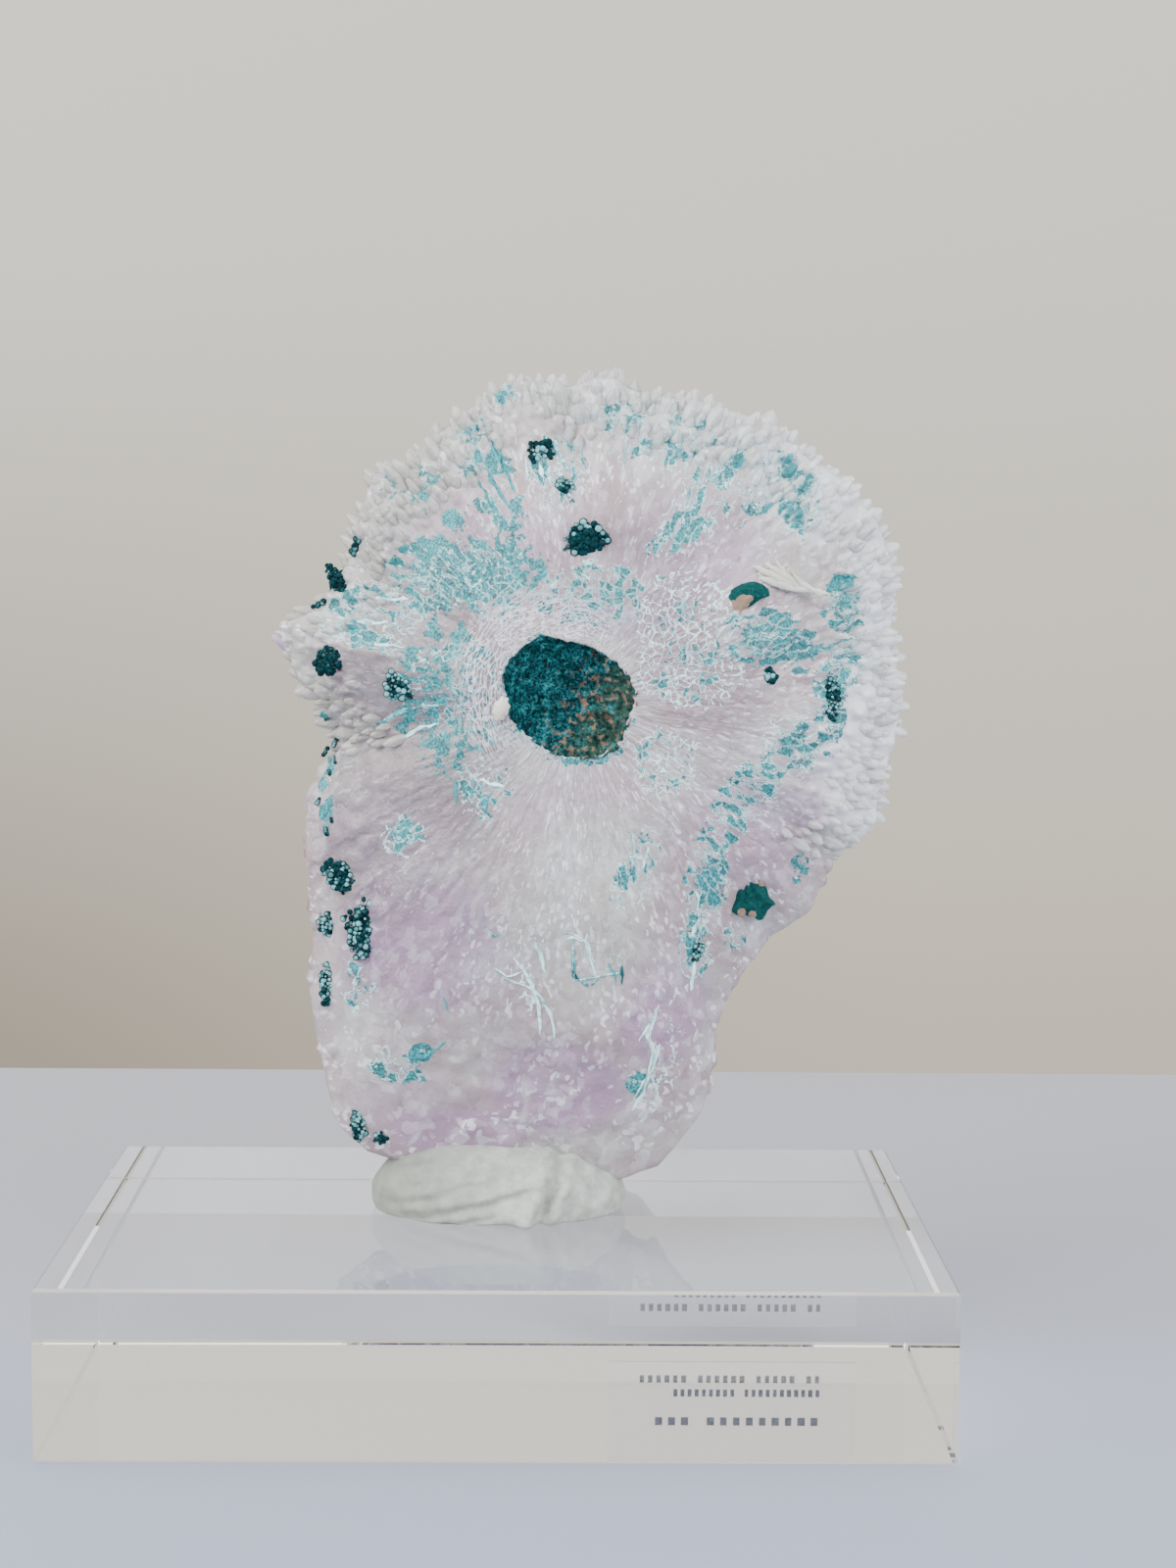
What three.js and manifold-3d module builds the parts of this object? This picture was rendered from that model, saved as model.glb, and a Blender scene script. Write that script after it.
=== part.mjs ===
// An amethyst flower on its stand: a rosette of pale quartz crystals that radiate from a core of green matrix,
// pressed into a lump of white putty on a clear acrylic block.
// Millimetres, +Z up. The origin is the centre of the block's underside. -Y is the side with the green matrix,
// which is the back of the rosette, and the crystal points face +Y.
import * as THREE from "three";
import { mergeVertices } from "three/addons/utils/BufferGeometryUtils.js";
import Module from "manifold-3d";

const wasm = await Module();
wasm.setup();

// Driving dimensions
const BLOCK = { width: 130, depth: 80, height: 25, chamfer: 0.4 };
const CAPTION_FILM = { left: 17, right: 57, low: 3, high: 22, thickness: 0.15, gap: 0.03 };
const CORE = { x: 11, z: 106 }; // every crystal of the rosette grew outwards from here
const FRONT_AT_CORE = -13; // how far the green side stands forward at the core
const FRONT_FALL = 14; // and how far it has fallen back at the rim
const FALL_POWER = 2.6;
const RIM_FRONT = 1.5;
const RIM_BACK = 8.5;
const BACK_RISE = 11; // how far the crystal side swells behind the rim
const ROSETTE = { from: -34, to: 196 }; // degrees round the core, from +X towards +Z
const RIM_CRYSTAL_REACH = 4.2;
const LOBE_CRYSTAL_REACH = 1.3;
const QUARTZ_TIP = 0.62; // height of a crystal's six-sided tip over its width
const GAP = 0.35; // between pieces that touch
const BLOCK_TOP_GAP = 0.05;
const SLIVER = 0.04; // details finer than this are dropped after a join

// How far the specimen reaches from its core, in millimetres, at each angle in degrees
const REACH = [
  [0, 52], [10, 50.5], [20, 53.5], [30, 54.5], [37, 54], [45, 52], [54, 52.5], [62, 50.5], [70, 49.5],
  [77, 48.5], [84, 50], [92, 48.5], [102, 50.5], [110, 48], [120, 46.5], [127, 46], [134, 47], [144, 44],
  [151, 42.5], [162, 43.5], [168, 48.5], [174, 46.5], [182, 43], [189, 40], [194, 39.6], [201, 44],
  [209, 48.4], [217, 52], [224, 56.7], [231, 65], [236, 70], [242, 77.5], [246, 79.5], [251, 79],
  [257, 78.5], [267, 77.5], [275, 77.2], [280, 75.5], [287, 68.4], [290, 63], [293, 57], [298, 52.6],
  [303, 50.5], [309, 49], [318, 49.8], [327, 48], [333, 51.6], [338, 52], [345, 50.7], [360, 52],
];

const COLOURS = {
  quartz: { color: 0xcfc3cc, roughness: 0.22, metalness: 0 },
  matrix: { color: 0x0f5f63, roughness: 0.8, metalness: 0 },
  putty: { color: 0xdcdcd3, roughness: 0.75, metalness: 0 },
  acrylic: { color: 0xf2f5f7, roughness: 0.03, metalness: 0, transparent: true, opacity: 0.3 },
  film: { color: 0xf4f4f2, roughness: 0.2, metalness: 0, transparent: true, opacity: 0.4 },
};

const radians = THREE.MathUtils.degToRad;
const lerp = THREE.MathUtils.lerp;

// A repeatable number from 0 to 1 for each pair of whole numbers
function chance(i, j = 0) {
  const s = Math.sin(i * 127.1 + j * 311.7 + 17.3) * 43758.5453;
  return s - Math.floor(s);
}

function spread(i, j, size) {
  return (chance(i, j) - 0.5) * 2 * size;
}

// How far the specimen reaches from the core at an angle in degrees
function reachAt(degrees) {
  const a = ((degrees % 360) + 360) % 360;
  const next = REACH.findIndex(([angle]) => angle > a);
  const [a0, r0] = REACH[next - 1];
  const [a1, r1] = REACH[next];
  return lerp(r0, r1, (a - a0) / (a1 - a0));
}

// 1 round the rosette and 0 round the lobe below it, with a soft change between them
function rosetteShare(degrees) {
  const middle = (ROSETTE.from + ROSETTE.to) / 2;
  const half = (ROSETTE.to - ROSETTE.from) / 2;
  const off = Math.abs(((degrees - middle + 540) % 360) - 180);
  return THREE.MathUtils.clamp((half - off) / 12 + 0.5, 0, 1);
}

// The solid mass that the crystals stand on stops short of their tips
function massReachAt(degrees) {
  return reachAt(degrees) - lerp(LOBE_CRYSTAL_REACH, RIM_CRYSTAL_REACH, rosetteShare(degrees));
}

function frontDepth(share) {
  return FRONT_AT_CORE + FRONT_FALL * Math.pow(share, FALL_POWER);
}

function backDepth(share) {
  return RIM_BACK + BACK_RISE * (1 - share * share);
}

// The depth of the green side at a point of the front view
function frontAt(x, z) {
  const across = x - CORE.x;
  const up = z - CORE.z;
  const degrees = THREE.MathUtils.radToDeg(Math.atan2(up, across));
  return frontDepth(Math.min(1, Math.hypot(across, up) / massReachAt(degrees)));
}

// A closed manifold solid from a closed three.js geometry
function solidOf(geometry) {
  const bare = geometry.clone();
  bare.deleteAttribute("normal");
  bare.deleteAttribute("uv");
  const merged = mergeVertices(bare, 1e-4);
  const corners = merged.index.array;
  const kept = [];
  for (let i = 0; i < corners.length; i += 3) {
    const [a, b, c] = corners.slice(i, i + 3);
    if (a !== b && b !== c && c !== a) kept.push(a, b, c);
  }
  return new wasm.Manifold(
    new wasm.Mesh({
      numProp: 3,
      vertProperties: Float32Array.from(merged.attributes.position.array),
      triVerts: Uint32Array.from(kept),
    }),
  );
}

function geometryOf(solid) {
  const mesh = solid.getMesh();
  const corners = new Float32Array(mesh.numVert * 3);
  for (let i = 0; i < mesh.numVert; i++) {
    const at = i * mesh.numProp;
    corners.set(mesh.vertProperties.subarray(at, at + 3), i * 3);
  }
  const geometry = new THREE.BufferGeometry();
  geometry.setAttribute("position", new THREE.BufferAttribute(corners, 3));
  geometry.setIndex(new THREE.BufferAttribute(Uint32Array.from(mesh.triVerts), 1));
  geometry.computeVertexNormals();
  return geometry;
}

// The largest piece of a solid, without the crumbs that a cut can leave
function largestPiece(solid) {
  return solid.decompose().reduce((a, b) => (a.volume() > b.volume() ? a : b));
}

// A sphere's net pulled to a form given by place(angle in degrees, row number) for each of its points
function formedNet(columns, rows, place) {
  const net = new THREE.SphereGeometry(1, columns, rows);
  const { position, uv } = net.attributes;
  for (let i = 0; i < position.count; i++) {
    const row = Math.round((1 - uv.getY(i)) * rows);
    const column = Math.round(uv.getX(i) * columns) % columns;
    const pole = row === 0 || row === rows;
    const p = place(pole ? 0 : (360 * column) / columns, row, pole ? 0 : column);
    position.setXYZ(i, p.x, p.y, p.z);
  }
  return solidOf(net);
}

// The mass of the specimen, as rings from the core over the rim to the middle of the crystal side
function makeMass() {
  const columns = 40; // one ridge or furrow each, like the columns of quartz that fan out from the core
  const front = [0, 0.25, 0.5, 0.72, 0.9].map((s) => [s, frontDepth(s)]);
  const rim = [[1, RIM_FRONT], [1.01, (RIM_FRONT + RIM_BACK) / 2], [1, RIM_BACK]];
  const back = [0.8, 0.45, 0].map((s) => [s, backDepth(s)]);
  const rings = [...front, ...rim, ...back];
  const ridge = 0.5;
  const roughness = 0.45;
  return formedNet(columns, rings.length - 1, (degrees, row, column) => {
    const [share, depth] = rings[row];
    const around = radians(degrees);
    const reach = massReachAt(degrees) * share;
    const pole = row === 0 || row === rings.length - 1;
    const relief = pole ? 0 : ridge * share * (column % 2 ? 1 : -1) + spread(column, row, roughness);
    return new THREE.Vector3(
      CORE.x + reach * Math.cos(around),
      depth + relief,
      CORE.z + reach * Math.sin(around),
    );
  });
}

// One quartz crystal: a six-sided prism with a six-sided tip, its root sunk into the mass
function makeCrystal({ at, along, width, out, root, twist }) {
  const tip = width * QUARTZ_TIP;
  const profile = [
    new THREE.Vector2(0, -root),
    new THREE.Vector2(width / 2, -root),
    new THREE.Vector2(width / 2, out - tip),
    new THREE.Vector2(0, out),
  ];
  const shape = new THREE.LatheGeometry(profile, 6);
  const turn = new THREE.Quaternion().setFromUnitVectors(new THREE.Vector3(0, 1, 0), along.clone().normalize());
  shape.rotateY(twist);
  shape.applyQuaternion(turn);
  shape.translate(at.x, at.y, at.z);
  return solidOf(shape);
}

// Three staggered rows of crystals that point outwards round the rosette
function rimCrystals() {
  const rows = [
    { depth: 2.4, lean: -0.12, inset: 1.2, width: 5.4 },
    { depth: 7, lean: 0.12, inset: 0, width: 6 },
    { depth: 11, lean: 0.5, inset: 1.8, width: 6.4 },
  ];
  const perRow = 23;
  const made = [];
  rows.forEach(({ depth, lean, inset, width }, row) => {
    for (let i = 0; i < perRow; i++) {
      const share = (i + 0.5 + row / 3 + spread(i, row, 0.22)) / perRow;
      const degrees = lerp(ROSETTE.from, ROSETTE.to, share);
      const around = radians(degrees);
      const start = massReachAt(degrees) - 2;
      const out = reachAt(degrees) - inset + spread(i, row + 10, 0.9) - start;
      const swing = around + spread(i, row + 20, 0.16);
      made.push(makeCrystal({
        at: new THREE.Vector3(CORE.x + start * Math.cos(around), depth, CORE.z + start * Math.sin(around)),
        along: new THREE.Vector3(Math.cos(swing), lean + spread(i, row + 30, 0.12), Math.sin(swing)),
        width: width * (1 + spread(i, row + 40, 0.2)),
        out,
        root: 6,
        twist: chance(i, row + 50),
      }));
    }
  });
  return made;
}

// Blunt lumps of crystal round the lobe below the rosette
function lobeCrystals() {
  const count = 15;
  const made = [];
  for (let i = 0; i < count; i++) {
    const degrees = lerp(ROSETTE.to + 4, 360 + ROSETTE.from - 2, (i + 0.5) / count);
    if (degrees > 247 && degrees < 279) continue; // this stretch is bedded in the putty
    const around = radians(degrees);
    const start = massReachAt(degrees) - 3;
    made.push(makeCrystal({
      at: new THREE.Vector3(CORE.x + start * Math.cos(around), 3 + 4 * chance(i, 60), CORE.z + start * Math.sin(around)),
      along: new THREE.Vector3(Math.cos(around), spread(i, 61, 0.35), Math.sin(around)),
      width: 8 + spread(i, 62, 1.6),
      out: reachAt(degrees) - start,
      root: 4,
      twist: chance(i, 63),
    }));
  }
  return made;
}

// The flower's own face: stout crystals over the far side, each pointing away from the core
function faceCrystals() {
  const count = 36;
  const goldenAngle = 137.508;
  const made = [];
  for (let i = 0; i < count; i++) {
    const share = Math.sqrt((i + 0.6) / count) * 0.96;
    const degrees = i * goldenAngle;
    const around = radians(degrees);
    const reach = massReachAt(degrees) * share;
    const x = CORE.x + reach * Math.cos(around);
    const z = CORE.z + reach * Math.sin(around);
    const splay = 0.25 + 0.75 * share;
    const along = new THREE.Vector3(Math.cos(around) * splay, 1, Math.sin(around) * splay);
    made.push(makeCrystal({
      at: new THREE.Vector3(x, backDepth(share) - 1, z),
      along: along.add(new THREE.Vector3(spread(i, 70, 0.2), 0, spread(i, 71, 0.2))),
      width: 11 + spread(i, 72, 2.4),
      out: 7 + spread(i, 73, 1.8),
      root: 5,
      twist: chance(i, 74),
    }));
  }
  return made;
}

// The green core: a rough plug that sits a little below the quartz round it. grow makes its pocket.
function makeCore(grow = 0) {
  const centre = { x: 11.2, z: 105.8 };
  const outline = (degrees) => 9.2 + 0.8 * Math.cos(radians(2 * degrees + 40)) + 0.5 * Math.sin(radians(5 * degrees));
  const mouth = grow > 0 ? -20 : -11.9;
  const rings = [
    [0, grow > 0 ? mouth : -10.6], [0.4, grow > 0 ? mouth : -10.3], [0.75, grow > 0 ? mouth : -11.3],
    [1, mouth], [1, -8 + grow], [0.75, -5.6 + grow], [0, -5 + grow],
  ];
  const columns = 20;
  const rough = 0.45;
  return formedNet(columns, rings.length - 1, (degrees, row, column) => {
    const [share, depth] = rings[row];
    const around = radians(degrees);
    const reach = (outline(degrees) + grow) * share;
    const bump = grow === 0 && row > 0 && row < 4 ? spread(column, row + 90, rough) : 0;
    return new THREE.Vector3(centre.x + reach * Math.cos(around), depth + bump, centre.z + reach * Math.sin(around));
  });
}

// Lumps and druses of green matrix let into the front: place in the front view and half sizes
const GREEN_LUMPS = [
  { name: "green_lump_above_core", x: 11.8, z: 129, wide: 3.2, deep: 1.8, high: 3.2 },
  { name: "green_lump_top", x: 5, z: 142, wide: 2.1, deep: 1.2, high: 2.1 },
  { name: "green_bead_top", x: 8.5, z: 137.1, wide: 1.6, deep: 1, high: 1.4 },
  { name: "green_crescent_right", x: 35.2, z: 121, wide: 3.4, deep: 1.4, high: 2.7, turn: 35 },
  { name: "green_fan_lower_right", x: 38, z: 75.2, wide: 3.9, deep: 1.5, high: 3.5 },
  { name: "green_lump_left_outer", x: -26.4, z: 111, wide: 2.1, deep: 1.3, high: 2.1 },
  { name: "green_lump_left_inner", x: -15.5, z: 107.6, wide: 2.3, deep: 1.3, high: 3 },
  { name: "green_druse_left_upper", x: -24, z: 78.4, wide: 4, deep: 1.5, high: 2.6 },
  { name: "green_druse_left_middle", x: -21.2, z: 70.2, wide: 3, deep: 1.6, high: 4.5 },
  { name: "green_druse_left_outer", x: -27, z: 70.1, wide: 1.5, deep: 1.2, high: 2.4 },
  { name: "green_druse_left_lower", x: -27.2, z: 61.2, wide: 1.2, deep: 1.1, high: 4.2 },
  { name: "green_chain_lower_left", x: -22.4, z: 39.2, wide: 1.2, deep: 1.1, high: 3.2 },
  { name: "green_bead_lower_left", x: -19, z: 37, wide: 1.1, deep: 0.9, high: 1.1 },
  { name: "green_seam_left_edge", x: -24.9, z: 121.8, wide: 1.2, deep: 1.3, high: 4, turn: -34 },
  { name: "green_vug_lower_right", x: 29.4, z: 67.7, wide: 1, deep: 0.9, high: 2.1 },
  { name: "green_seam_right", x: 49, z: 106, wide: 1.2, deep: 1, high: 3.8 },
  { name: "green_ring_right", x: 39.2, z: 109.4, wide: 1.4, deep: 0.9, high: 1.3 },
];

function makeLump({ x, z, wide, deep, high, turn = 0 }, seed, grow = 0) {
  const shape = new THREE.IcosahedronGeometry(1, 1);
  const { position } = shape.attributes;
  const corner = new THREE.Vector3();
  for (let i = 0; i < position.count; i++) {
    corner.fromBufferAttribute(position, i);
    const mark = Math.round(corner.x * 40) + 7 * Math.round(corner.y * 40) + 13 * Math.round(corner.z * 40);
    corner.multiplyScalar(1 + spread(mark, seed, 0.1));
    corner.multiply(new THREE.Vector3(wide + grow, deep + grow, high + grow));
    position.setXYZ(i, corner.x, corner.y, corner.z);
  }
  shape.rotateY(radians(turn));
  shape.translate(x, frontAt(x, z) + deep * 0.3, z);
  return solidOf(shape);
}

// A solid swollen by GAP, near enough, by joining it with copies moved each way
function swollen(solid) {
  const moves = [[1, 0, 0], [-1, 0, 0], [0, 1, 0], [0, -1, 0], [0, 0, 1], [0, 0, -1]];
  const copies = moves.map((move) => solid.translate(move.map((m) => m * GAP)));
  return wasm.Manifold.union([solid, ...copies]);
}

function boxSolid(low, high) {
  const size = new THREE.Vector3().subVectors(high, low);
  const middle = new THREE.Vector3().addVectors(low, high).multiplyScalar(0.5);
  return solidOf(new THREE.BoxGeometry(size.x, size.y, size.z).translate(middle.x, middle.y, middle.z));
}

// The lump of putty, pinched up round the foot of the specimen, with two drawn folds to the right of its middle
function makePutty(foot) {
  const middle = new THREE.Vector3(-0.8, 3.6, BLOCK.height + 2.5);
  const half = new THREE.Vector3(19.8, 11.4, 9.8);
  const folds = [
    { x: 6.2, width: 1.6, lift: 0.17 },
    { x: 9.6, width: 1.1, lift: -0.16 },
    { x: 13.5, width: 2.4, lift: 0.1 },
    { x: -11, width: 3, lift: -0.05 },
  ];
  const shape = new THREE.IcosahedronGeometry(1, 5);
  const { position } = shape.attributes;
  const corner = new THREE.Vector3();
  for (let i = 0; i < position.count; i++) {
    corner.fromBufferAttribute(position, i);
    const across = corner.x * half.x + middle.x;
    const fold = folds.reduce((sum, f) => sum + f.lift * Math.exp(-(((across - f.x) / f.width) ** 2)), 0);
    const square = 1 + 0.1 * Math.abs(corner.x) * (1 - Math.abs(corner.x));
    corner.y *= (1 + fold) * square;
    corner.z *= (1 + fold * 0.5) * square;
    corner.multiply(half).add(middle);
    position.setXYZ(i, corner.x, corner.y, corner.z);
  }
  const top = BLOCK.height + BLOCK_TOP_GAP;
  const above = boxSolid(new THREE.Vector3(-50, -50, top), new THREE.Vector3(50, 50, 60));
  return largestPiece(solidOf(shape).intersect(above).subtract(swollen(foot)));
}

// Putty left on the quartz: a smear drawn out by a fingertip, and a dab beside the core
const PUTTY_SCRAPS = [
  { name: "putty_smear", x: 42.3, z: 123.2, wide: 5.6, deep: 1.3, high: 2.1, turn: 20 },
  { name: "putty_dab", x: 0.2, z: 104.4, wide: 1.4, deep: 1, high: 1.8 },
];

function makeScrap(scrap, seed, quartz) {
  const standOff = scrap.deep * 0.75; // most of a scrap stands on the quartz
  const lump = makeLump(scrap, seed).translate([0, -standOff, 0]);
  const near = boxSolid(
    new THREE.Vector3(scrap.x - 9, -20, scrap.z - 9),
    new THREE.Vector3(scrap.x + 9, 5, scrap.z + 9),
  );
  return largestPiece(lump.subtract(swollen(quartz.intersect(near))));
}

// The clear block, with its polished edges just broken
function makeBlock() {
  const { width, depth, height, chamfer } = BLOCK;
  const outline = new THREE.Shape([
    new THREE.Vector2(chamfer - width / 2, chamfer - depth / 2),
    new THREE.Vector2(width / 2 - chamfer, chamfer - depth / 2),
    new THREE.Vector2(width / 2 - chamfer, depth / 2 - chamfer),
    new THREE.Vector2(chamfer - width / 2, depth / 2 - chamfer),
  ]);
  const shape = new THREE.ExtrudeGeometry(outline, {
    depth: height - 2 * chamfer,
    bevelEnabled: true,
    bevelThickness: chamfer,
    bevelSize: chamfer,
    bevelSegments: 1,
  });
  return solidOf(shape.translate(0, 0, chamfer));
}

// A thin clear film that carries the caption, on the block's face under the flower's face
function makeCaptionFilm() {
  const { left, right, low, high, thickness, gap } = CAPTION_FILM;
  const face = BLOCK.depth / 2 + gap;
  return boxSolid(new THREE.Vector3(left, face, low), new THREE.Vector3(right, face + thickness, high));
}

function makeQuartz() {
  const crystals = [...rimCrystals(), ...lobeCrystals(), ...faceCrystals()];
  const pockets = GREEN_LUMPS.map((lump, i) => makeLump(lump, i, GAP));
  const grown = wasm.Manifold.union([makeMass(), ...crystals]);
  const hollowed = grown.subtract(wasm.Manifold.union([makeCore(GAP), ...pockets]));
  return largestPiece(hollowed.simplify(SLIVER));
}

function addPiece(group, name, solid, finish) {
  const mesh = new THREE.Mesh(geometryOf(solid), new THREE.MeshStandardMaterial(finish));
  mesh.name = name;
  group.add(mesh);
}

function build() {
  const group = new THREE.Group();
  const quartz = makeQuartz();
  const foot = quartz.intersect(boxSolid(new THREE.Vector3(-30, -30, 20), new THREE.Vector3(35, 40, 45)));
  addPiece(group, "amethyst", quartz, COLOURS.quartz);
  addPiece(group, "green_core", makeCore(), COLOURS.matrix);
  GREEN_LUMPS.forEach((lump, i) => addPiece(group, lump.name, makeLump(lump, i), COLOURS.matrix));
  addPiece(group, "putty_lump", makePutty(foot), COLOURS.putty);
  PUTTY_SCRAPS.forEach((scrap, i) => addPiece(group, scrap.name, makeScrap(scrap, i + 40, quartz), COLOURS.putty));
  addPiece(group, "acrylic_block", makeBlock(), COLOURS.acrylic);
  addPiece(group, "caption_film", makeCaptionFilm(), COLOURS.film);
  return group;
}

export default build();
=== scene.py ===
# %% [markdown]
# An amethyst flower on its clear block, seen from the side where it grew: pale quartz that fans out
# from a core of green matrix, with a rim of clear crystal points. The solids that carry it are
# loaded first, and stay where they are.

# %% Load the frame
import math

import bmesh
import bpy
import numpy as np
from mathutils import Matrix, Vector, noise


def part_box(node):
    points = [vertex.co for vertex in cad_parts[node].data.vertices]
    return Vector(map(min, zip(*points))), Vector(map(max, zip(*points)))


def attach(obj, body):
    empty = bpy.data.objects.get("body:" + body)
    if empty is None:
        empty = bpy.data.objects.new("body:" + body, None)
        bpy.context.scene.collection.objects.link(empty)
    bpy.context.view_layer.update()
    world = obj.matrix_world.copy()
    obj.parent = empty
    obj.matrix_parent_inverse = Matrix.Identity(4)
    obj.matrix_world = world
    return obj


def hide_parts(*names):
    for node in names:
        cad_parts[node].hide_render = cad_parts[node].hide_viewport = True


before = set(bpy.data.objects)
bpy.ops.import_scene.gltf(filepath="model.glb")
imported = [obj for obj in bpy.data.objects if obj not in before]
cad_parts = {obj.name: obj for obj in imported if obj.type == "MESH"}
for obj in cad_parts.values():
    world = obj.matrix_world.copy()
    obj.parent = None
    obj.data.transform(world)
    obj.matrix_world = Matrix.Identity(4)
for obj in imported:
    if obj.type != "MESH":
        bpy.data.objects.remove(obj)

# Blender takes this seed from the clock unless it is set.
noise.seed_set(7)

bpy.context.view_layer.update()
print("nodes in the frame:", len(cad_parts))

# %% [markdown]
# The camera stands where the photograph was taken. Its place and lens come from the block, whose
# edges are straight and square: only one camera sees its six corners where the picture has them.

# %% Camera
MM = 0.001
CAMERA = {"place": (6.127, -383.56, 133.74), "yaw": 0.0170, "pitch": 0.1082, "roll": 0.0095, "lens": 58.03}


def make_camera():
    yaw, pitch, roll = CAMERA["yaw"], CAMERA["pitch"], CAMERA["roll"]
    ahead = Vector((math.sin(yaw) * math.cos(pitch), math.cos(yaw) * math.cos(pitch), -math.sin(pitch)))
    right = Vector((math.cos(yaw), -math.sin(yaw), 0))
    up = right.cross(ahead)
    turned_right = right * math.cos(roll) + up * math.sin(roll)
    turned_up = up * math.cos(roll) - right * math.sin(roll)
    camera = bpy.data.objects.new("camera", bpy.data.cameras.new("camera"))
    bpy.context.collection.objects.link(camera)
    camera.data.lens = CAMERA["lens"]
    camera.data.sensor_width = 36
    turn = Matrix((turned_right, turned_up, -ahead)).transposed().to_4x4()
    camera.matrix_world = Matrix.Translation(Vector(CAMERA["place"]) * MM) @ turn
    bpy.context.scene.camera = camera
    return camera


print("camera lens:", make_camera().data.lens)

# %% [markdown]
# A material is a tree of nodes. These helpers keep each tree readable: one adds a node, one makes a
# sum, and one joins or sets a socket, whichever the value asks for.

# %% Helpers for materials


def add(tree, kind, **settings):
    node = tree.nodes.new(kind)
    for key, value in settings.items():
        setattr(node, key, value)
    return node


def feed(tree, socket, value):
    if isinstance(value, bpy.types.NodeSocket):
        tree.links.new(value, socket)
    else:
        socket.default_value = value


def sum_of(tree, operation, *values):
    node = add(tree, "ShaderNodeMath", operation=operation)
    for socket, value in zip(node.inputs, values):
        feed(tree, socket, value)
    return node.outputs[0]


def times(tree, first, second):
    return sum_of(tree, "MULTIPLY", first, second)


def ramp(tree, value, low, high, to_low=0.0, to_high=1.0):
    """A value carried smoothly from low to high on to another range."""
    node = add(tree, "ShaderNodeMapRange", interpolation_type="SMOOTHSTEP")
    for socket, source in zip(node.inputs, (value, low, high, to_low, to_high)):
        feed(tree, socket, source)
    return node.outputs[0]


def blend(tree, share, first, second):
    node = add(tree, "ShaderNodeMix", data_type="RGBA")
    feed(tree, node.inputs[0], share)
    feed(tree, node.inputs[6], first)
    feed(tree, node.inputs[7], second)
    return node.outputs[2]


def mix_value(tree, share, first, second):
    node = add(tree, "ShaderNodeMix", data_type="FLOAT")
    feed(tree, node.inputs[0], share)
    feed(tree, node.inputs[2], first)
    feed(tree, node.inputs[3], second)
    return node.outputs[0]


def layered(tree, colour, rows):
    """Lays colours over one another, each up to its own share as its source passes from low to high."""
    for source, low, high, most, over in rows:
        colour = blend(tree, ramp(tree, source, low, high, 0.0, most), colour, over)
    return colour


def speckle(tree, place, scale, detail=3.0, roughness=0.55):
    node = add(tree, "ShaderNodeTexNoise")
    feed(tree, node.inputs["Vector"], place)
    node.inputs["Scale"].default_value = scale
    node.inputs["Detail"].default_value = detail
    node.inputs["Roughness"].default_value = roughness
    return node.outputs[0]


def axes_of(tree, vector):
    """The three numbers of a vector."""
    node = add(tree, "ShaderNodeSeparateXYZ")
    tree.links.new(vector, node.inputs[0])
    return node.outputs


def painted(tree, name):
    """What is painted into the mesh under a name."""
    return add(tree, "ShaderNodeAttribute", attribute_name=name).outputs


def place_in_mm(tree):
    """Object coordinates in millimetres, which every pattern here is measured in."""
    node = add(tree, "ShaderNodeMapping")
    node.inputs["Scale"].default_value = (1000, 1000, 1000)
    tree.links.new(add(tree, "ShaderNodeTexCoord").outputs["Object"], node.inputs["Vector"])
    return node.outputs[0]


def new_material(name, **values):
    material = bpy.data.materials.new(name)
    material.use_nodes = True
    shader = material.node_tree.nodes["Principled BSDF"]
    for key, value in values.items():
        shader.inputs[key.replace("_", " ")].default_value = value
    return material, material.node_tree, shader


def wire(tree, node, **sources):
    """Joins each source to the node's socket of that name."""
    for name, source in sources.items():
        tree.links.new(source, node.inputs[name.replace("_", " ")])


def bump(tree, height, strength, depth):
    node = add(tree, "ShaderNodeBump")
    node.inputs["Strength"].default_value = strength
    node.inputs["Distance"].default_value = depth
    feed(tree, node.inputs["Height"], height)
    return node.outputs[0]


def new_group(name, inputs, outputs):
    tree = bpy.data.node_groups.new(name, "ShaderNodeTree")
    for way, sockets in (("INPUT", inputs), ("OUTPUT", outputs)):
        for label, kind in sockets.items():
            tree.interface.new_socket(label, in_out=way, socket_type="NodeSocket" + kind)
    return tree, tree.nodes.new("NodeGroupInput"), tree.nodes.new("NodeGroupOutput")


def use_group(tree, group, **values):
    node = add(tree, "ShaderNodeGroup", node_tree=group)
    for key, value in values.items():
        feed(tree, node.inputs[key], value)
    return node


# %% [markdown]
# The stage is a pale table whose far edge shows behind the block, and a warm grey wall beyond it.
# Neither belongs to the object. Their colours matter all the same, because a clear block shows
# little but its surroundings.

# %% Table, wall and light
# The lowest and the highest corner of each box, in metres.
TABLE = (-1.3, -1.3, -0.0303), (1.3, 0.212, -0.0003)
WALL = (-2.5, 0.78, -0.8), (2.5, 0.8, 2.2)
GROUND = (-2.5, -2.5, -0.82), (2.5, 0.78, -0.8)
# Each light's name, place and size in metres, power in watts and colour. Both point at the specimen.
LIGHTS = [
    ("window", (-1.0, -0.55, 0.85), 0.9, 28, (1, 0.985, 0.96)),
    ("room_fill", (0.9, -0.9, 0.7), 0.8, 15, (0.93, 0.96, 1)),
]
LIT_POINT = Vector((0, 0, 0.08))
ROOM_COLOUR, ROOM_STRENGTH = (0.93, 0.96, 1, 1), 2.5


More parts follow.
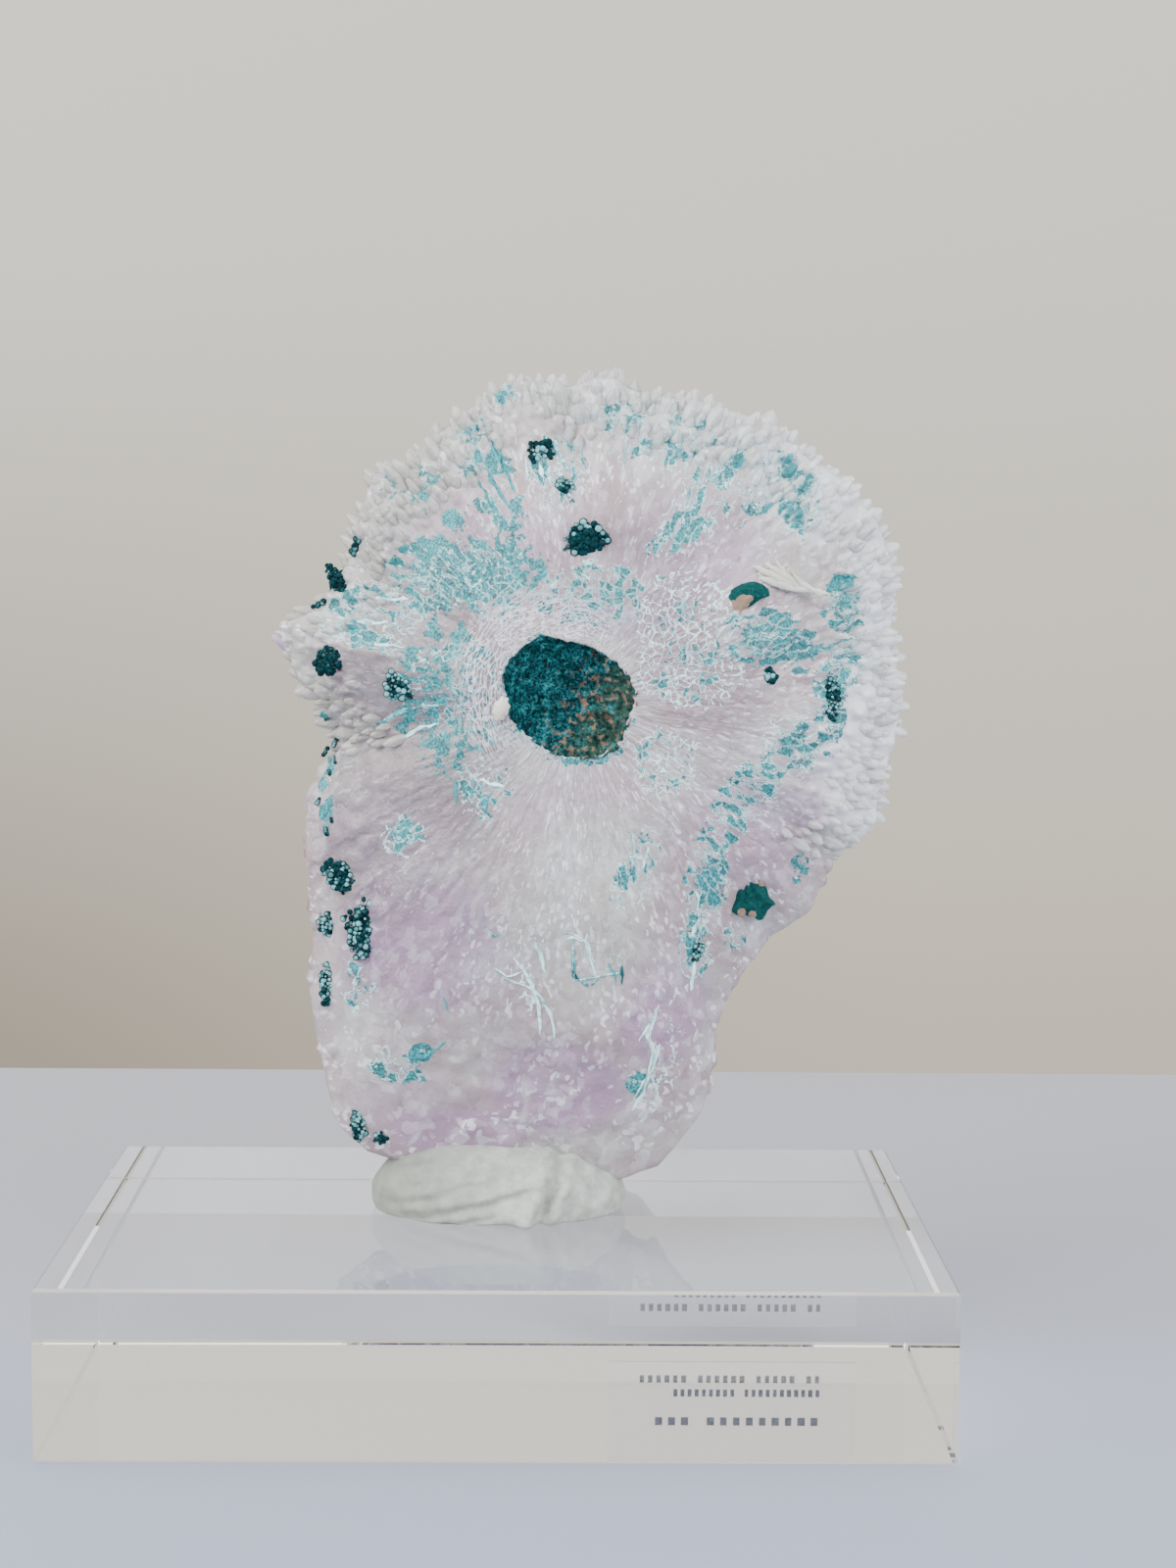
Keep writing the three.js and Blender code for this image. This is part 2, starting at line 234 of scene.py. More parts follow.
def finish_object(name, bm, material, smooth=False, scale=MM):
    """Turns a bmesh in millimetres into an object in metres, with its place in its mesh."""
    bmesh.ops.scale(bm, vec=(scale, scale, scale), verts=bm.verts)
    mesh = bpy.data.meshes.new(name)
    bm.to_mesh(mesh)
    bm.free()
    mesh.polygons.foreach_set("use_smooth", [smooth] * len(mesh.polygons))
    piece = bpy.data.objects.new(name, mesh)
    bpy.context.collection.objects.link(piece)
    mesh.materials.append(material)
    return piece


def box_mesh(low, high):
    bm = bmesh.new()
    bmesh.ops.create_cube(bm, size=1)
    low, high = Vector(low), Vector(high)
    bmesh.ops.scale(bm, vec=high - low, verts=bm.verts)
    bmesh.ops.translate(bm, vec=(low + high) / 2, verts=bm.verts)
    return bm


def area_light(name, place, size, power, colour):
    light = bpy.data.objects.new(name, bpy.data.lights.new(name, "AREA"))
    bpy.context.collection.objects.link(light)
    light.data.size, light.data.energy, light.data.color = size, power, colour
    light.location = place
    light.rotation_euler = (LIT_POINT - Vector(place)).to_track_quat("-Z", "Y").to_euler()


def make_wall_finish():
    """Warm grey paint, with painted shade: darker towards the table, most of all on the left."""
    material, tree, shader = new_material("wall_paint", Roughness=0.9)
    across, _, up = axes_of(tree, add(tree, "ShaderNodeTexCoord").outputs["Object"])
    # Painted shade: darker low down, and most of all towards the left.
    side = ramp(tree, across, -0.35, 0.2, 1.0, 0.0)
    low = blend(tree, side, (0.36, 0.32, 0.25, 1), (0.19, 0.16, 0.12, 1))
    wire(tree, shader, Base_Color=blend(tree, ramp(tree, up, -0.16, 0.28), low, (0.44, 0.41, 0.355, 1)))
    return material


def make_table_finish():
    """Pale paint with a cool cast that grows towards the front."""
    material, tree, shader = new_material("table_top", Roughness=0.7)
    depth = axes_of(tree, add(tree, "ShaderNodeTexCoord").outputs["Object"])[1]
    cloud = speckle(tree, place_in_mm(tree), 0.006, detail=4)
    far = ramp(tree, sum_of(tree, "MULTIPLY_ADD", cloud, 0.04, depth), -0.12, 0.16)
    wire(tree, shader, Base_Color=blend(tree, far, (0.25, 0.28, 0.37, 1), (0.28, 0.28, 0.31, 1)))
    return material


wall_finish = make_wall_finish()
for stage_name, corners, stage_finish in (
    ("table", TABLE, make_table_finish()),
    ("wall", WALL, wall_finish),
    ("ground", GROUND, wall_finish),
):
    finish_object(stage_name, box_mesh(*corners), stage_finish, scale=1)

world = bpy.data.worlds.new("room")
bpy.context.scene.world = world
world.use_nodes = True
room_light = world.node_tree.nodes["Background"].inputs
room_light["Color"].default_value, room_light["Strength"].default_value = ROOM_COLOUR, ROOM_STRENGTH
for row in LIGHTS:
    area_light(*row)
print("lights:", [light.name for light in bpy.data.lights])

# %% [markdown]
# Every crystal of the flower started at the core and grew outwards, so all its shapes are set out
# round the core: an angle, and a share of the way to the edge. The edge is a short list of reaches
# read off the real outline.

# %% The flower's form, in millimetres
CORE = Vector((11, 0, 106))
# Degrees round the core, and how far the tips reach there.
REACH = [
    (0, 52), (10, 50.5), (20, 53.5), (30, 54.5), (37, 54), (45, 52), (54, 52.5), (62, 50.5), (70, 49.5),
    (77, 48.5), (84, 50), (92, 48.5), (102, 50.5), (110, 48), (120, 46.5), (127, 46), (134, 47),
    (144, 44), (151, 42.5), (162, 43.5), (168, 48.5), (174, 46.5), (182, 43), (189, 40), (194, 39.6),
    (201, 44), (209, 48.4), (217, 52), (224, 56.7), (231, 65), (236, 70), (242, 77.5), (246, 79.5),
    (251, 79), (257, 78.5), (267, 77.5), (275, 77.2), (280, 75.5), (287, 68.4), (290, 63), (293, 57),
    (298, 52.6), (303, 50.5), (309, 49), (318, 49.8), (327, 48), (333, 51.6), (338, 52), (345, 50.7),
    (360, 52),
]
# The rosette's first and last degree, and the degrees over which it passes into the lobe below.
ROSETTE, ROSETTE_EDGE = (-34, 196), 12
# How far the mass stops short of the tips, and how much further round the rosette, in millimetres.
TIP_GAP, ROSETTE_TIP_GAP = 0.9, 1.6
# The near side's depth at the core, how far it falls back towards the rim, and how late it does so.
FRONT_AT_CORE, FRONT_FALL, FALL_POWER = -13.0, 14.0, 2.6
# The depths between which the rim lies, and how far the far side bulges behind it.
RIM_FRONT, RIM_BACK, BACK_RISE = 1.5, 8.5, 11.0
GOLDEN_ANGLE = 137.508


def chance(i, j=0):
    """A repeatable number from 0 to 1 for each pair of whole numbers."""
    s = math.sin(i * 127.1 + j * 311.7 + 17.3) * 43758.5453
    return s - math.floor(s)


def spread(i, j, size):
    return (chance(i, j) - 0.5) * 2 * size


def reach_at(degrees):
    return float(np.interp(degrees % 360, *zip(*REACH)))


def rosette_share(degrees):
    """1 round the rosette and 0 round the lobe below it."""
    middle, half = sum(ROSETTE) / 2, (ROSETTE[1] - ROSETTE[0]) / 2
    return np.clip((half - abs((degrees - middle + 540) % 360 - 180)) / ROSETTE_EDGE + 0.5, 0, 1)


def ripple(x, z, seed, scale):
    """Smooth noise over the front view. A smaller scale makes it wider."""
    return noise.noise(Vector((x, z, seed)) * scale)


def ring_noise(around, size, seed):
    """Smooth noise on an angle, which comes back to its start after a full turn."""
    return noise.noise(Vector((math.cos(around) * size, math.sin(around) * size, seed)))


def mass_reach(degrees):
    """The solid mass stops short of the crystal tips."""
    uneven = ring_noise(math.radians(degrees), 9, 7) * 0.7
    return reach_at(degrees) - TIP_GAP - ROSETTE_TIP_GAP * float(rosette_share(degrees)) + uneven


def front_depth(share):
    return FRONT_AT_CORE + FRONT_FALL * share**FALL_POWER


def back_depth(share):
    return RIM_BACK + BACK_RISE * (1 - share * share)


def point_on(degrees, distance, depth):
    around = math.radians(degrees)
    return Vector((CORE.x + distance * math.cos(around), depth, CORE.z + distance * math.sin(around)))


print("outline:", len(REACH), "reaches, the longest", max(reach for _, reach in REACH), "mm")

# %% [markdown]
# Colour on the quartz is of two kinds: the stone's own milky greys and lilacs, and the teal and
# white lace that filled the cracks between crystals. Where each lies is a list of soft oval
# patches, painted into the mesh as an attribute, and the material turns them into lace. A third
# list of patches paints light and shade into the stone's colour.

# %% Patches of lace and tint
# Each row of the next three lists starts with a patch's middle x and z, half width and half height.
# LACE goes on with its turn in degrees and its shares of teal and white.
LACE = [
    (-5.6, 123.8, 13, 5.5, -4, 1.0, 0.6), (12.1, 121.4, 8, 5, 0, 0.75, 0.9),
    (27.5, 114.3, 8.5, 10, 15, 0.35, 1.0), (40, 114.5, 7.5, 4.5, -10, 1.0, 0.6),
    (29, 134.6, 10, 4, 48, 0.7, 0.9), (39.5, 138.3, 9, 5, -30, 0.75, 0.9),
    (19.4, 146, 10, 5.5, 0, 0.45, 0.5), (-1.9, 137, 10, 4.5, 112, 0.65, 0.5),
    (7.7, 139.5, 5, 6, 0, 0.6, 0.8), (-19.5, 117.5, 9, 5, 0, 0.6, 0.8),
    (-8.6, 106.2, 8, 12, 0, 0.85, 0.4), (3, 119.5, 9.5, 3, 15, 0.3, 0.45),
    (51, 120, 3.8, 4.6, 0, 0.95, 0.6), (48.8, 105.5, 2.6, 8.5, 0, 0.9, 0.9),
    (36.3, 91.5, 10, 3.6, 52, 0.8, 0.95), (30.9, 78.3, 3.4, 6.5, 0, 0.95, 0.95),
    (23.8, 96.6, 5, 5, 0, 0.4, 0.9), (19.7, 81.2, 7.4, 3, 75, 0.55, 0.8),
    (43.7, 98.9, 5.5, 5, 0, 0.5, 0.9), (3.3, 62.8, 7, 2.5, 110, 0.2, 0.45),
    (14.6, 66.5, 5, 3, 0, 0.35, 0.4), (23.8, 48.1, 9.5, 3.2, 70, 0.25, 0.55),
    (-17.3, 49.3, 5.5, 2.8, -15, 0.75, 0.85), (-12.5, 51.5, 1.9, 1.6, 0, 1, 0.4),
    (-27.4, 93, 1.9, 10, 0, 0.5, 0.1), (-14.4, 137, 4.8, 3.6, 0, 0.6, 0.3),
    (-7.5, 132, 2, 1.8, 0, 1, 0.4), (-15, 84.9, 3.4, 3.2, 0, 0.5, 0.8),
    (-3.4, 93, 4.4, 5.4, 0, 0.5, 0.6), (29.2, 68.5, 3.2, 6, 0, 0.6, 0.9),
    (36.6, 134.3, 1.6, 1.4, 0, 1, 0.5), (45, 79.5, 1.6, 2.4, 0, 0.9, 0.3),
    (20.2, 47, 1.6, 1.8, 0, 1, 0.3), (-22, 60, 3, 5, 0, 0.4, 0.6), (35, 69, 2.4, 2.6, 0, 0.5, 0.7),
    (52, 111, 3, 5, 20, 0.5, 0.7), (-0.5, 151, 2, 2, 0, 0.6, 0.8), (26, 144, 6, 4, 20, 0.5, 0.8),
    (44, 134, 4, 5, 0, 0.5, 0.8),
]
# TINT goes on with its shares of lilac and grey.
TINT = [
    (8.4, 46, 11, 8, 1.0, 0), (-7, 38.5, 12, 5, 0.9, 0), (-13, 69, 12, 11, 0.95, 0),
    (-17, 84, 10, 8, 0.55, 0), (27, 127, 12, 9, 0.6, 0), (19, 120, 8, 6, 0.6, 0),
    (55, 97, 9, 16, 0.6, 0), (40, 86, 14, 10, 0.5, 0), (24, 58, 8, 9, 0.8, 0), (-2, 128, 14, 8, 0.5, 0),
    (12, 73, 10, 17, 0, 0.9), (8, 90, 9, 6, 0.35, 0.3), (-14, 40, 10, 9, 0.5, 0),
    (11, 150, 60, 12, 0, 0.6), (-22, 128, 14, 20, 0, 0.5), (55, 128, 14, 20, 0, 0.5),
]
# The shade list goes on with painted light and shade: above 0 the stone is lighter, below 0 darker.
LIGHT_AND_SHADE = [
    (58, 120, 7, 15, 0.8), (56, 98, 9, 17, 1.0), (47, 139, 10, 9, 0.7), (25, 151, 18, 6, 0.4),
    (11, 88, 8, 14, 0.2), (-12, 104, 15, 19, -1.0), (-20, 84, 9, 13, -0.8), (-10, 84, 10, 8, -0.45),
    (-8, 62, 18, 14, -0.45), (14, 46, 16, 8, -0.25), (30, 110, 11, 13, -0.5), (14, 124, 14, 8, -0.5),
    (-12, 128, 12, 8, -0.5), (24, 133, 12, 7, -0.4),
]


def oval(x, z, centre_x, centre_z, wide, high, turn=0.0):
    """1 in the middle of an oval patch, falling softly to 0 a little past its edge."""
    c, s = math.cos(math.radians(turn)), math.sin(math.radians(turn))
    along = ((x - centre_x) * c + (z - centre_z) * s) / wide
    across = ((z - centre_z) * c - (x - centre_x) * s) / high
    return np.clip(1.25 - 0.8 * (along**2 + across**2), 0, 1)


CORE_PLUG = {"x": 11.2, "z": 105.8, "front": -12.1, "back": -5.0}
# The degrees at which the crust round the core is faintest, and at which the ridges are strongest.
FAINT_CRUST_AT, RIDGES_AT = 50, 140
# How far in from the tips the stone is clear, and how softly that ends, in millimetres.
CLEAR_RIM, CLEAR_EDGE = 11, 5
# Degrees and radius of the core's outline.
CORE_OUTLINE = [
    (0, 8.3), (16, 8.5), (35, 7.8), (65, 7.7), (90, 8.3), (104, 9.0), (114, 10.2), (121, 11.0),
    (140, 11.6), (157, 12.0), (167, 11.6), (185, 10.7), (201, 10.4), (224, 8.9), (253, 8.9), (281, 8.6),
    (298, 9.0), (317, 9.0), (330, 8.0), (360, 8.3),
]


def core_radius(degrees):
    ragged = ring_noise(math.radians(degrees), 9, 5) * 0.45
    return float(np.interp(degrees % 360, *zip(*CORE_OUTLINE))) + ragged


def places_in_mm(mesh):
    co = np.zeros(len(mesh.vertices) * 3)
    mesh.vertices.foreach_get("co", co)
    return co.reshape(-1, 3) / MM


def paint_shares(mesh, name, shares):
    """Writes one number for each corner of the mesh."""
    mesh.attributes.new(name, "FLOAT", "POINT").data.foreach_set("value", shares)


def paint_marks(mesh):
    """Paints teal, white, lilac and grey shares as the attribute marks, and painted light, shade and ridges
    beside it.
    """
    x, y, z = places_in_mm(mesh).T
    marks = np.zeros((len(x), 4))
    for *patch, teal, white in LACE:
        share = oval(x, z, *patch)
        marks[:, 0] = np.maximum(marks[:, 0], share * teal)
        marks[:, 1] = np.maximum(marks[:, 1], share * white)
    for *patch, lilac, grey in TINT:
        share = oval(x, z, *patch)
        marks[:, 2] = np.maximum(marks[:, 2], share * lilac)
        marks[:, 3] = np.maximum(marks[:, 3], share * grey)
    # Painted light and shade: above 0 the stone is painted lighter, below 0 darker.
    shade = sum(oval(x, z, *patch) * amount for *patch, amount in LIGHT_AND_SHADE)
    paint_shares(mesh, "shade", np.clip(shade, -1, 1))

    angle = np.degrees(np.arctan2(z - CORE.z, x - CORE.x))
    inside = np.interp(angle % 360, *zip(*REACH)) - np.hypot(x - CORE.x, z - CORE.z)
    clear = np.clip((CLEAR_RIM - inside) / CLEAR_EDGE, 0, 1) * rosette_share(angle)
    marks[:, 3] = np.maximum(marks[:, 3], clear)
    marks[:, 2] *= 1 - clear

    around = np.degrees(np.arctan2(z - CORE_PLUG["z"], x - CORE_PLUG["x"]))
    core_edge = np.interp(around % 360, range(361), [core_radius(degrees) for degrees in range(361)])
    off = np.hypot(x - CORE_PLUG["x"], z - CORE_PLUG["z"]) - core_edge
    strong = 0.55 - 0.45 * np.cos(np.radians(around - FAINT_CRUST_AT))
    crust = np.clip(1.6 - np.abs(off - 0.3) / 0.7, 0, 1) * strong
    marks[:, 0] = np.maximum(marks[:, 0], crust * 0.8)
    marks[:, 1] = np.maximum(marks[:, 1], crust)
    front = np.clip((6 - y) / 5, 0, 1)
    marks[:, :2] *= front[:, None]
    layer = mesh.color_attributes.new("marks", "FLOAT_COLOR", "POINT")
    layer.data.foreach_set("color", marks.ravel())
    turned = np.clip((np.cos(np.radians(around - RIDGES_AT)) - 0.1) * 2, 0, 1)
    paint_shares(mesh, "ridges", turned * np.clip(off * 2, 0, 1) * np.clip((8.5 - off) / 3, 0, 1) * front)


print("patches:", len(LACE), "of lace,", len(TINT), "of tint and", len(LIGHT_AND_SHADE), "of shade")

# %% [markdown]
# The quartz material. A pattern on coordinates that fan out from the core gives long cells, as the
# crystals are. The edges of those cells carry the lace. Milky quartz lets light in and scatters it,
# so the shader has some subsurface light and some transmission.

# %% Node groups for the quartz


def make_fan_group():
    """Coordinates that run round the core and outwards from it, so that a pattern on them fans out."""
    tree, start, end = new_group(
        "fan_coordinates", {"Around": "Float", "Along": "Float", "Warp": "Float"},
        {"Vector": "Vector", "Distance": "Float"},
    )
    place = place_in_mm(tree)
    x, y, z = axes_of(tree, place)
    x, z = sum_of(tree, "SUBTRACT", x, CORE.x), sum_of(tree, "SUBTRACT", z, CORE.z)
    distance = sum_of(tree, "SQRT", sum_of(tree, "ADD", times(tree, x, x), times(tree, z, z)))
    scale = sum_of(tree, "DIVIDE", start.outputs["Around"], sum_of(tree, "MAXIMUM", distance, 1.0))
    across = sum_of(tree, "ADD", times(tree, x, scale), times(tree, y, 0.12))
    outwards = sum_of(tree, "DIVIDE", distance, start.outputs["Along"])
    vector = add(tree, "ShaderNodeCombineXYZ")
    for socket, value in zip(vector.inputs, (across, times(tree, z, scale), outwards)):
        tree.links.new(value, socket)
    vector = pushed(tree, vector.outputs[0], place, start.outputs["Warp"])
    wire(tree, end, Vector=vector, Distance=distance)
    return tree


def pushed(tree, vector, place, amount):
    """A vector moved a little this way and that, so that a pattern on it is less even."""
    wobble = add(tree, "ShaderNodeTexNoise")
    wobble.inputs["Scale"].default_value = 0.35
    wobble.inputs["Detail"].default_value = 3
    tree.links.new(place, wobble.inputs["Vector"])
    push = add(tree, "ShaderNodeVectorMath", operation="SCALE")
    tree.links.new(wobble.outputs[1], push.inputs[0])
    feed(tree, push.inputs["Scale"], amount)
    joined = add(tree, "ShaderNodeVectorMath", operation="ADD")
    tree.links.new(vector, joined.inputs[0])
    tree.links.new(push.outputs[0], joined.inputs[1])
    return joined.outputs[0]


fan_group = make_fan_group()


def fanned(tree, around, along, warp):
    return use_group(tree, fan_group, Around=around, Along=along, Warp=warp).outputs["Vector"]


def cell_edges(tree, place):
    node = add(tree, "ShaderNodeTexVoronoi", feature="DISTANCE_TO_EDGE")
    node.inputs["Scale"].default_value = 1
    feed(tree, node.inputs["Vector"], place)
    return node.outputs["Distance"]


def cell_numbers(tree, place):
    """Two random numbers for each cell."""
    node = add(tree, "ShaderNodeTexVoronoi", feature="F1")
    node.inputs["Scale"].default_value = 1
    feed(tree, node.inputs["Vector"], place)
    parts = add(tree, "ShaderNodeSeparateColor")
    tree.links.new(node.outputs["Color"], parts.inputs[0])
    return parts.outputs[0], parts.outputs[1]


def make_lace_group():
    """Teal and white lace where the marks are. It runs along the edges of cells and fills some of them.
    Near the core the cells are round, like a honeycomb, and further out they fan."""
    tree, start, end = new_group(
        "lace", {"Teal": "Float", "White": "Float", "Ridges": "Float"},
        {"Teal": "Float", "White": "Float", "Deep": "Float"},
    )
    place = place_in_mm(tree)
    patchy = speckle(tree, place, 0.30, detail=2)
    fine = speckle(tree, place, 1.5, detail=4)
    dots = ramp(tree, speckle(tree, place, 0.75, detail=2), 0.64, 0.70)

    def here(strength):
        reach = sum_of(tree, "MULTIPLY_ADD", patchy, 1.3, sum_of(tree, "MULTIPLY_ADD", fine, 0.7, strength))
        return times(tree, ramp(tree, reach, 1.3, 1.55), ramp(tree, strength, 0.04, 0.14))

    fan = use_group(tree, fan_group, Around=26.0, Along=2.9, Warp=1.7).outputs
    honeycomb = add(tree, "ShaderNodeVectorMath", operation="SCALE")
    tree.links.new(place, honeycomb.inputs[0])
    honeycomb.inputs["Scale"].default_value = 0.88
    round_cells = pushed(tree, honeycomb.outputs[0], place, 1.5)
    far = ramp(tree, fan["Distance"], 20, 26)
    edge = mix_value(tree, far, cell_edges(tree, round_cells), cell_edges(tree, fan["Vector"]))
    near_numbers, far_numbers = cell_numbers(tree, round_cells), cell_numbers(tree, fan["Vector"])
    number, tone = (mix_value(tree, far, a, b) for a, b in zip(near_numbers, far_numbers))

    white, teal = here(start.outputs["White"]), here(start.outputs["Teal"])
    width = times(tree, white, ramp(tree, fine, 0.36, 0.62, 0.015, 0.16))
    line = times(tree, ramp(tree, edge, width, times(tree, width, 0.35)), white)
    inner = times(tree, ramp(tree, edge, times(tree, width, 0.45), 0.0), teal)
    line = times(tree, line, sum_of(tree, "SUBTRACT", 1.0, inner))
    swirl = cell_edges(tree, fanned(tree, 6.0, 0.55, 2.4))
    ridge = times(tree, ramp(tree, swirl, 0.16, 0.02, 0.0, 0.8), start.outputs["Ridges"])
    filled = sum_of(tree, "LESS_THAN", number, times(tree, teal, 0.55))
    wash = ramp(tree, sum_of(tree, "MULTIPLY_ADD", fine, 0.9, start.outputs["Teal"]), 1.25, 1.4)
    spots = sum_of(tree, "MAXIMUM", times(tree, dots, teal), times(tree, inner, 0.85))
    mottle = ramp(tree, speckle(tree, place, 3.2, detail=3), 0.36, 0.66)
    wire(
        tree, end, White=sum_of(tree, "MAXIMUM", line, ridge),
        Teal=sum_of(tree, "MAXIMUM", sum_of(tree, "MAXIMUM", filled, wash), spots),
        Deep=times(tree, sum_of(tree, "MULTIPLY_ADD", tone, 0.35, mottle), 0.72),
    )
    return tree


lace_group = make_lace_group()


def make_milk_group():
    """Milky, pink-grey and lilac stone in fanning streaks and veils, with painted glints, light and shade.
    """
    tree, start, end = new_group(
        "milky_quartz", {"Lilac": "Float", "Grey": "Float", "Shade": "Float"},
        {"Color": "Color", "Height": "Float"},
    )
    place = place_in_mm(tree)
    streak = speckle(tree, fanned(tree, 24.0, 7.0, 0.6), 1.0, detail=5)
    veil = speckle(tree, fanned(tree, 5.0, 11.0, 0.5), 1.0, detail=4)
    blade_place = fanned(tree, 13.0, 8.0, 0.7)
    blade = cell_numbers(tree, blade_place)[0]
    facet = cell_numbers(tree, fanned(tree, 34.0, 1.7, 2.2))[0]
    # Painted glints: small white specks on a few cells, where the veils are.
    painted_glint = cell_numbers(tree, fanned(tree, 90.0, 0.9, 3.0))[0]
    painted_glint = times(tree, ramp(tree, painted_glint, 0.80, 0.97), ramp(tree, veil, 0.36, 0.56))
    cloud = speckle(tree, place, 0.07, detail=4)
    body = blend(tree, ramp(tree, cloud, 0.35, 0.65), (0.37, 0.265, 0.285, 1), (0.45, 0.425, 0.42, 1))
    body = layered(tree, body, (
        (start.outputs["Lilac"], 0.0, 1.0, 0.9, (0.36, 0.225, 0.36, 1)),
        (start.outputs["Grey"], 0.0, 1.0, 0.85, (0.44, 0.435, 0.40, 1)),
        (blade, 0.6, 1.0, 0.14, (0.60, 0.60, 0.64, 1)),
        (blade, 0.3, 0.0, 0.14, (0.30, 0.25, 0.25, 1)),
        (veil, 0.54, 0.72, 0.55, (0.55, 0.54, 0.61, 1)),
        (streak, 0.58, 0.8, 0.6, (0.74, 0.74, 0.78, 1)),
        (streak, 0.45, 0.2, 0.3, (0.26, 0.18, 0.20, 1)),
        (facet, 0.65, 1.0, 0.30, (0.72, 0.71, 0.77, 1)),
        (facet, 0.35, 0.0, 0.26, (0.25, 0.18, 0.20, 1)),
    ))
    # The painted glints go over the stone's colour.
    body = blend(tree, times(tree, painted_glint, 0.75), body, (0.86, 0.87, 0.92, 1))
    # Painted light and painted shade, as the shade attribute asks.
    body = layered(tree, body, (
        (start.outputs["Shade"], 0.0, 1.0, 0.8, (0.84, 0.85, 0.89, 1)),
        (start.outputs["Shade"], 0.0, -1.0, 0.6, (0.13, 0.095, 0.11, 1)),
    ))
    grain = speckle(tree, place, 1.6, detail=5, roughness=0.65)
    grooves = ramp(tree, cell_edges(tree, blade_place), 0.0, 0.3, 0.0, 0.45)
    relief = sum_of(tree, "MULTIPLY_ADD", grain, 0.8, grooves)
    wire(tree, end, Color=body, Height=sum_of(tree, "MULTIPLY_ADD", facet, 0.7, relief))
    return tree


milk_group = make_milk_group()


def painted_lace(tree, teal_share=1.0, ridges=0.0):
    """The lace that the painted marks call for, and the marks' own lilac and grey shares."""
    marks = painted(tree, "marks")
    shares = add(tree, "ShaderNodeSeparateColor")
    tree.links.new(marks["Color"], shares.inputs[0])
    teal, white, lilac = shares.outputs
    lace = use_group(tree, lace_group, Teal=times(tree, teal, teal_share), White=white, Ridges=ridges)
    return lace.outputs, lilac, marks["Alpha"]


def make_quartz():
    material, tree, shader = new_material(
        "milky_quartz", Transmission_Weight=0.2, Subsurface_Weight=0.2, Subsurface_Scale=0.0015,
        Subsurface_Radius=(1.0, 0.9, 0.95), IOR=1.54,
    )
    ridges = painted(tree, "ridges")["Fac"]
    lace, lilac, grey = painted_lace(tree, ridges=ridges)
    milk = use_group(tree, milk_group, Lilac=lilac, Grey=grey, Shade=painted(tree, "shade")["Fac"]).outputs
    teal = blend(tree, ramp(tree, lace["Deep"], 0.0, 0.5), (0.035, 0.42, 0.46, 1), (0.008, 0.17, 0.185, 1))
    teal = blend(tree, ramp(tree, lace["Deep"], 0.5, 1.0), teal, (0.002, 0.035, 0.04, 1))
    crust = blend(tree, ridges, (0.74, 0.98, 1.0, 1), (0.84, 0.83, 0.90, 1))
    colour = blend(tree, lace["White"], blend(tree, lace["Teal"], milk["Color"], teal), crust)
    covered = sum_of(tree, "MAXIMUM", lace["White"], lace["Teal"])
    height = sum_of(tree, "ADD", milk["Height"], lace["White"])
    wire(
        tree, shader, Base_Color=colour, Roughness=ramp(tree, covered, 0.0, 1.0, 0.22, 0.6),
        Normal=bump(tree, height, 0.6, 0.0004),
    )
    return material


quartz_finish = make_quartz()
print("quartz material:", len(quartz_finish.node_tree.nodes), "nodes and 3 groups")

# %% [markdown]
# The mass of quartz. A sphere's net is drawn out to the flower's form: rings run from the core over
# the rim to the middle of the far side. The near side gets a relief of long cells that fan out, as
# columns of quartz side by side.

# %% The quartz mass
MASS_NET = {"around": 540, "rings": 184}
# The shares of the net, from pole to pole, at which the pit for the core, the near side and the rim end.
PIT_SHARE, FRONT_SHARE, RIM_SHARE = 0.02, 0.68, 0.75
# The gap between the pit and the core, and the depth of the pit's floor, in millimetres.
PIT_GAP, CORE_SEAT = -0.3, -7.5
# The middle x and z, half width and half height of the places where the quartz grew in round lumps.
LUMPY = [
    (53, 96, 13, 18), (6, 44, 27, 12), (27, 56, 9, 16), (-23, 76, 6, 22), (36, 84, 8, 8),
]


def fan_cell(degrees, distance, around, along):
    """The distances to the two nearest cells, and the nearest one's own number, on fanned coordinates."""
    a = math.radians(degrees)
    place = Vector((math.cos(a) * around, math.sin(a) * around, distance / along))
    gaps, points = noise.voronoi(place)
    return gaps[0], gaps[1], noise.cell(points[0] * 7.3)


def lump_share(x, z, centre_x, centre_z, wide, high):
    return min(1, max(0, 1.25 - 0.8 * (((x - centre_x) / wide) ** 2 + ((z - centre_z) / high) ** 2)))


def front_relief(degrees, share, distance):
    """How far the near side stands forward of its smooth form, in millimetres."""
    near, next_near, number = fan_cell(degrees, distance, 13, 8)
    blades = min(1, (next_near - near) * 2.2) * 0.07 + (number - 0.5) * 0.12
    x, z = distance * math.cos(math.radians(degrees)), distance * math.sin(math.radians(degrees))
    swell = ripple(x, z, 3, 0.09) * 0.9
    crumbs = ripple(x, z, 9, 0.7) * 0.14
    lumpy = max(lump_share(x + CORE.x, z + CORE.z, *place) for place in LUMPY) if share > 0.4 else 0
    lump = max(0, 0.62 - noise.voronoi(Vector((x, z, 20)) * 0.3)[0][0]) * 1.2 * lumpy if lumpy > 0 else 0
    knob = 0
    if share > 0.72:
        gap = fan_cell(degrees, distance, 24, 2.5)[0]
        knob = max(0, 0.6 - gap) * 2.6 * float(rosette_share(degrees)) * min(1, (share - 0.72) * 8)
    blades = blades * min(1, max(0, distance - 14) / 18) * (0.5 + 0.8 * share)
    return blades + swell * min(1, share * 2) * min(1, (1 - share) * 5) + crumbs + lump + knob


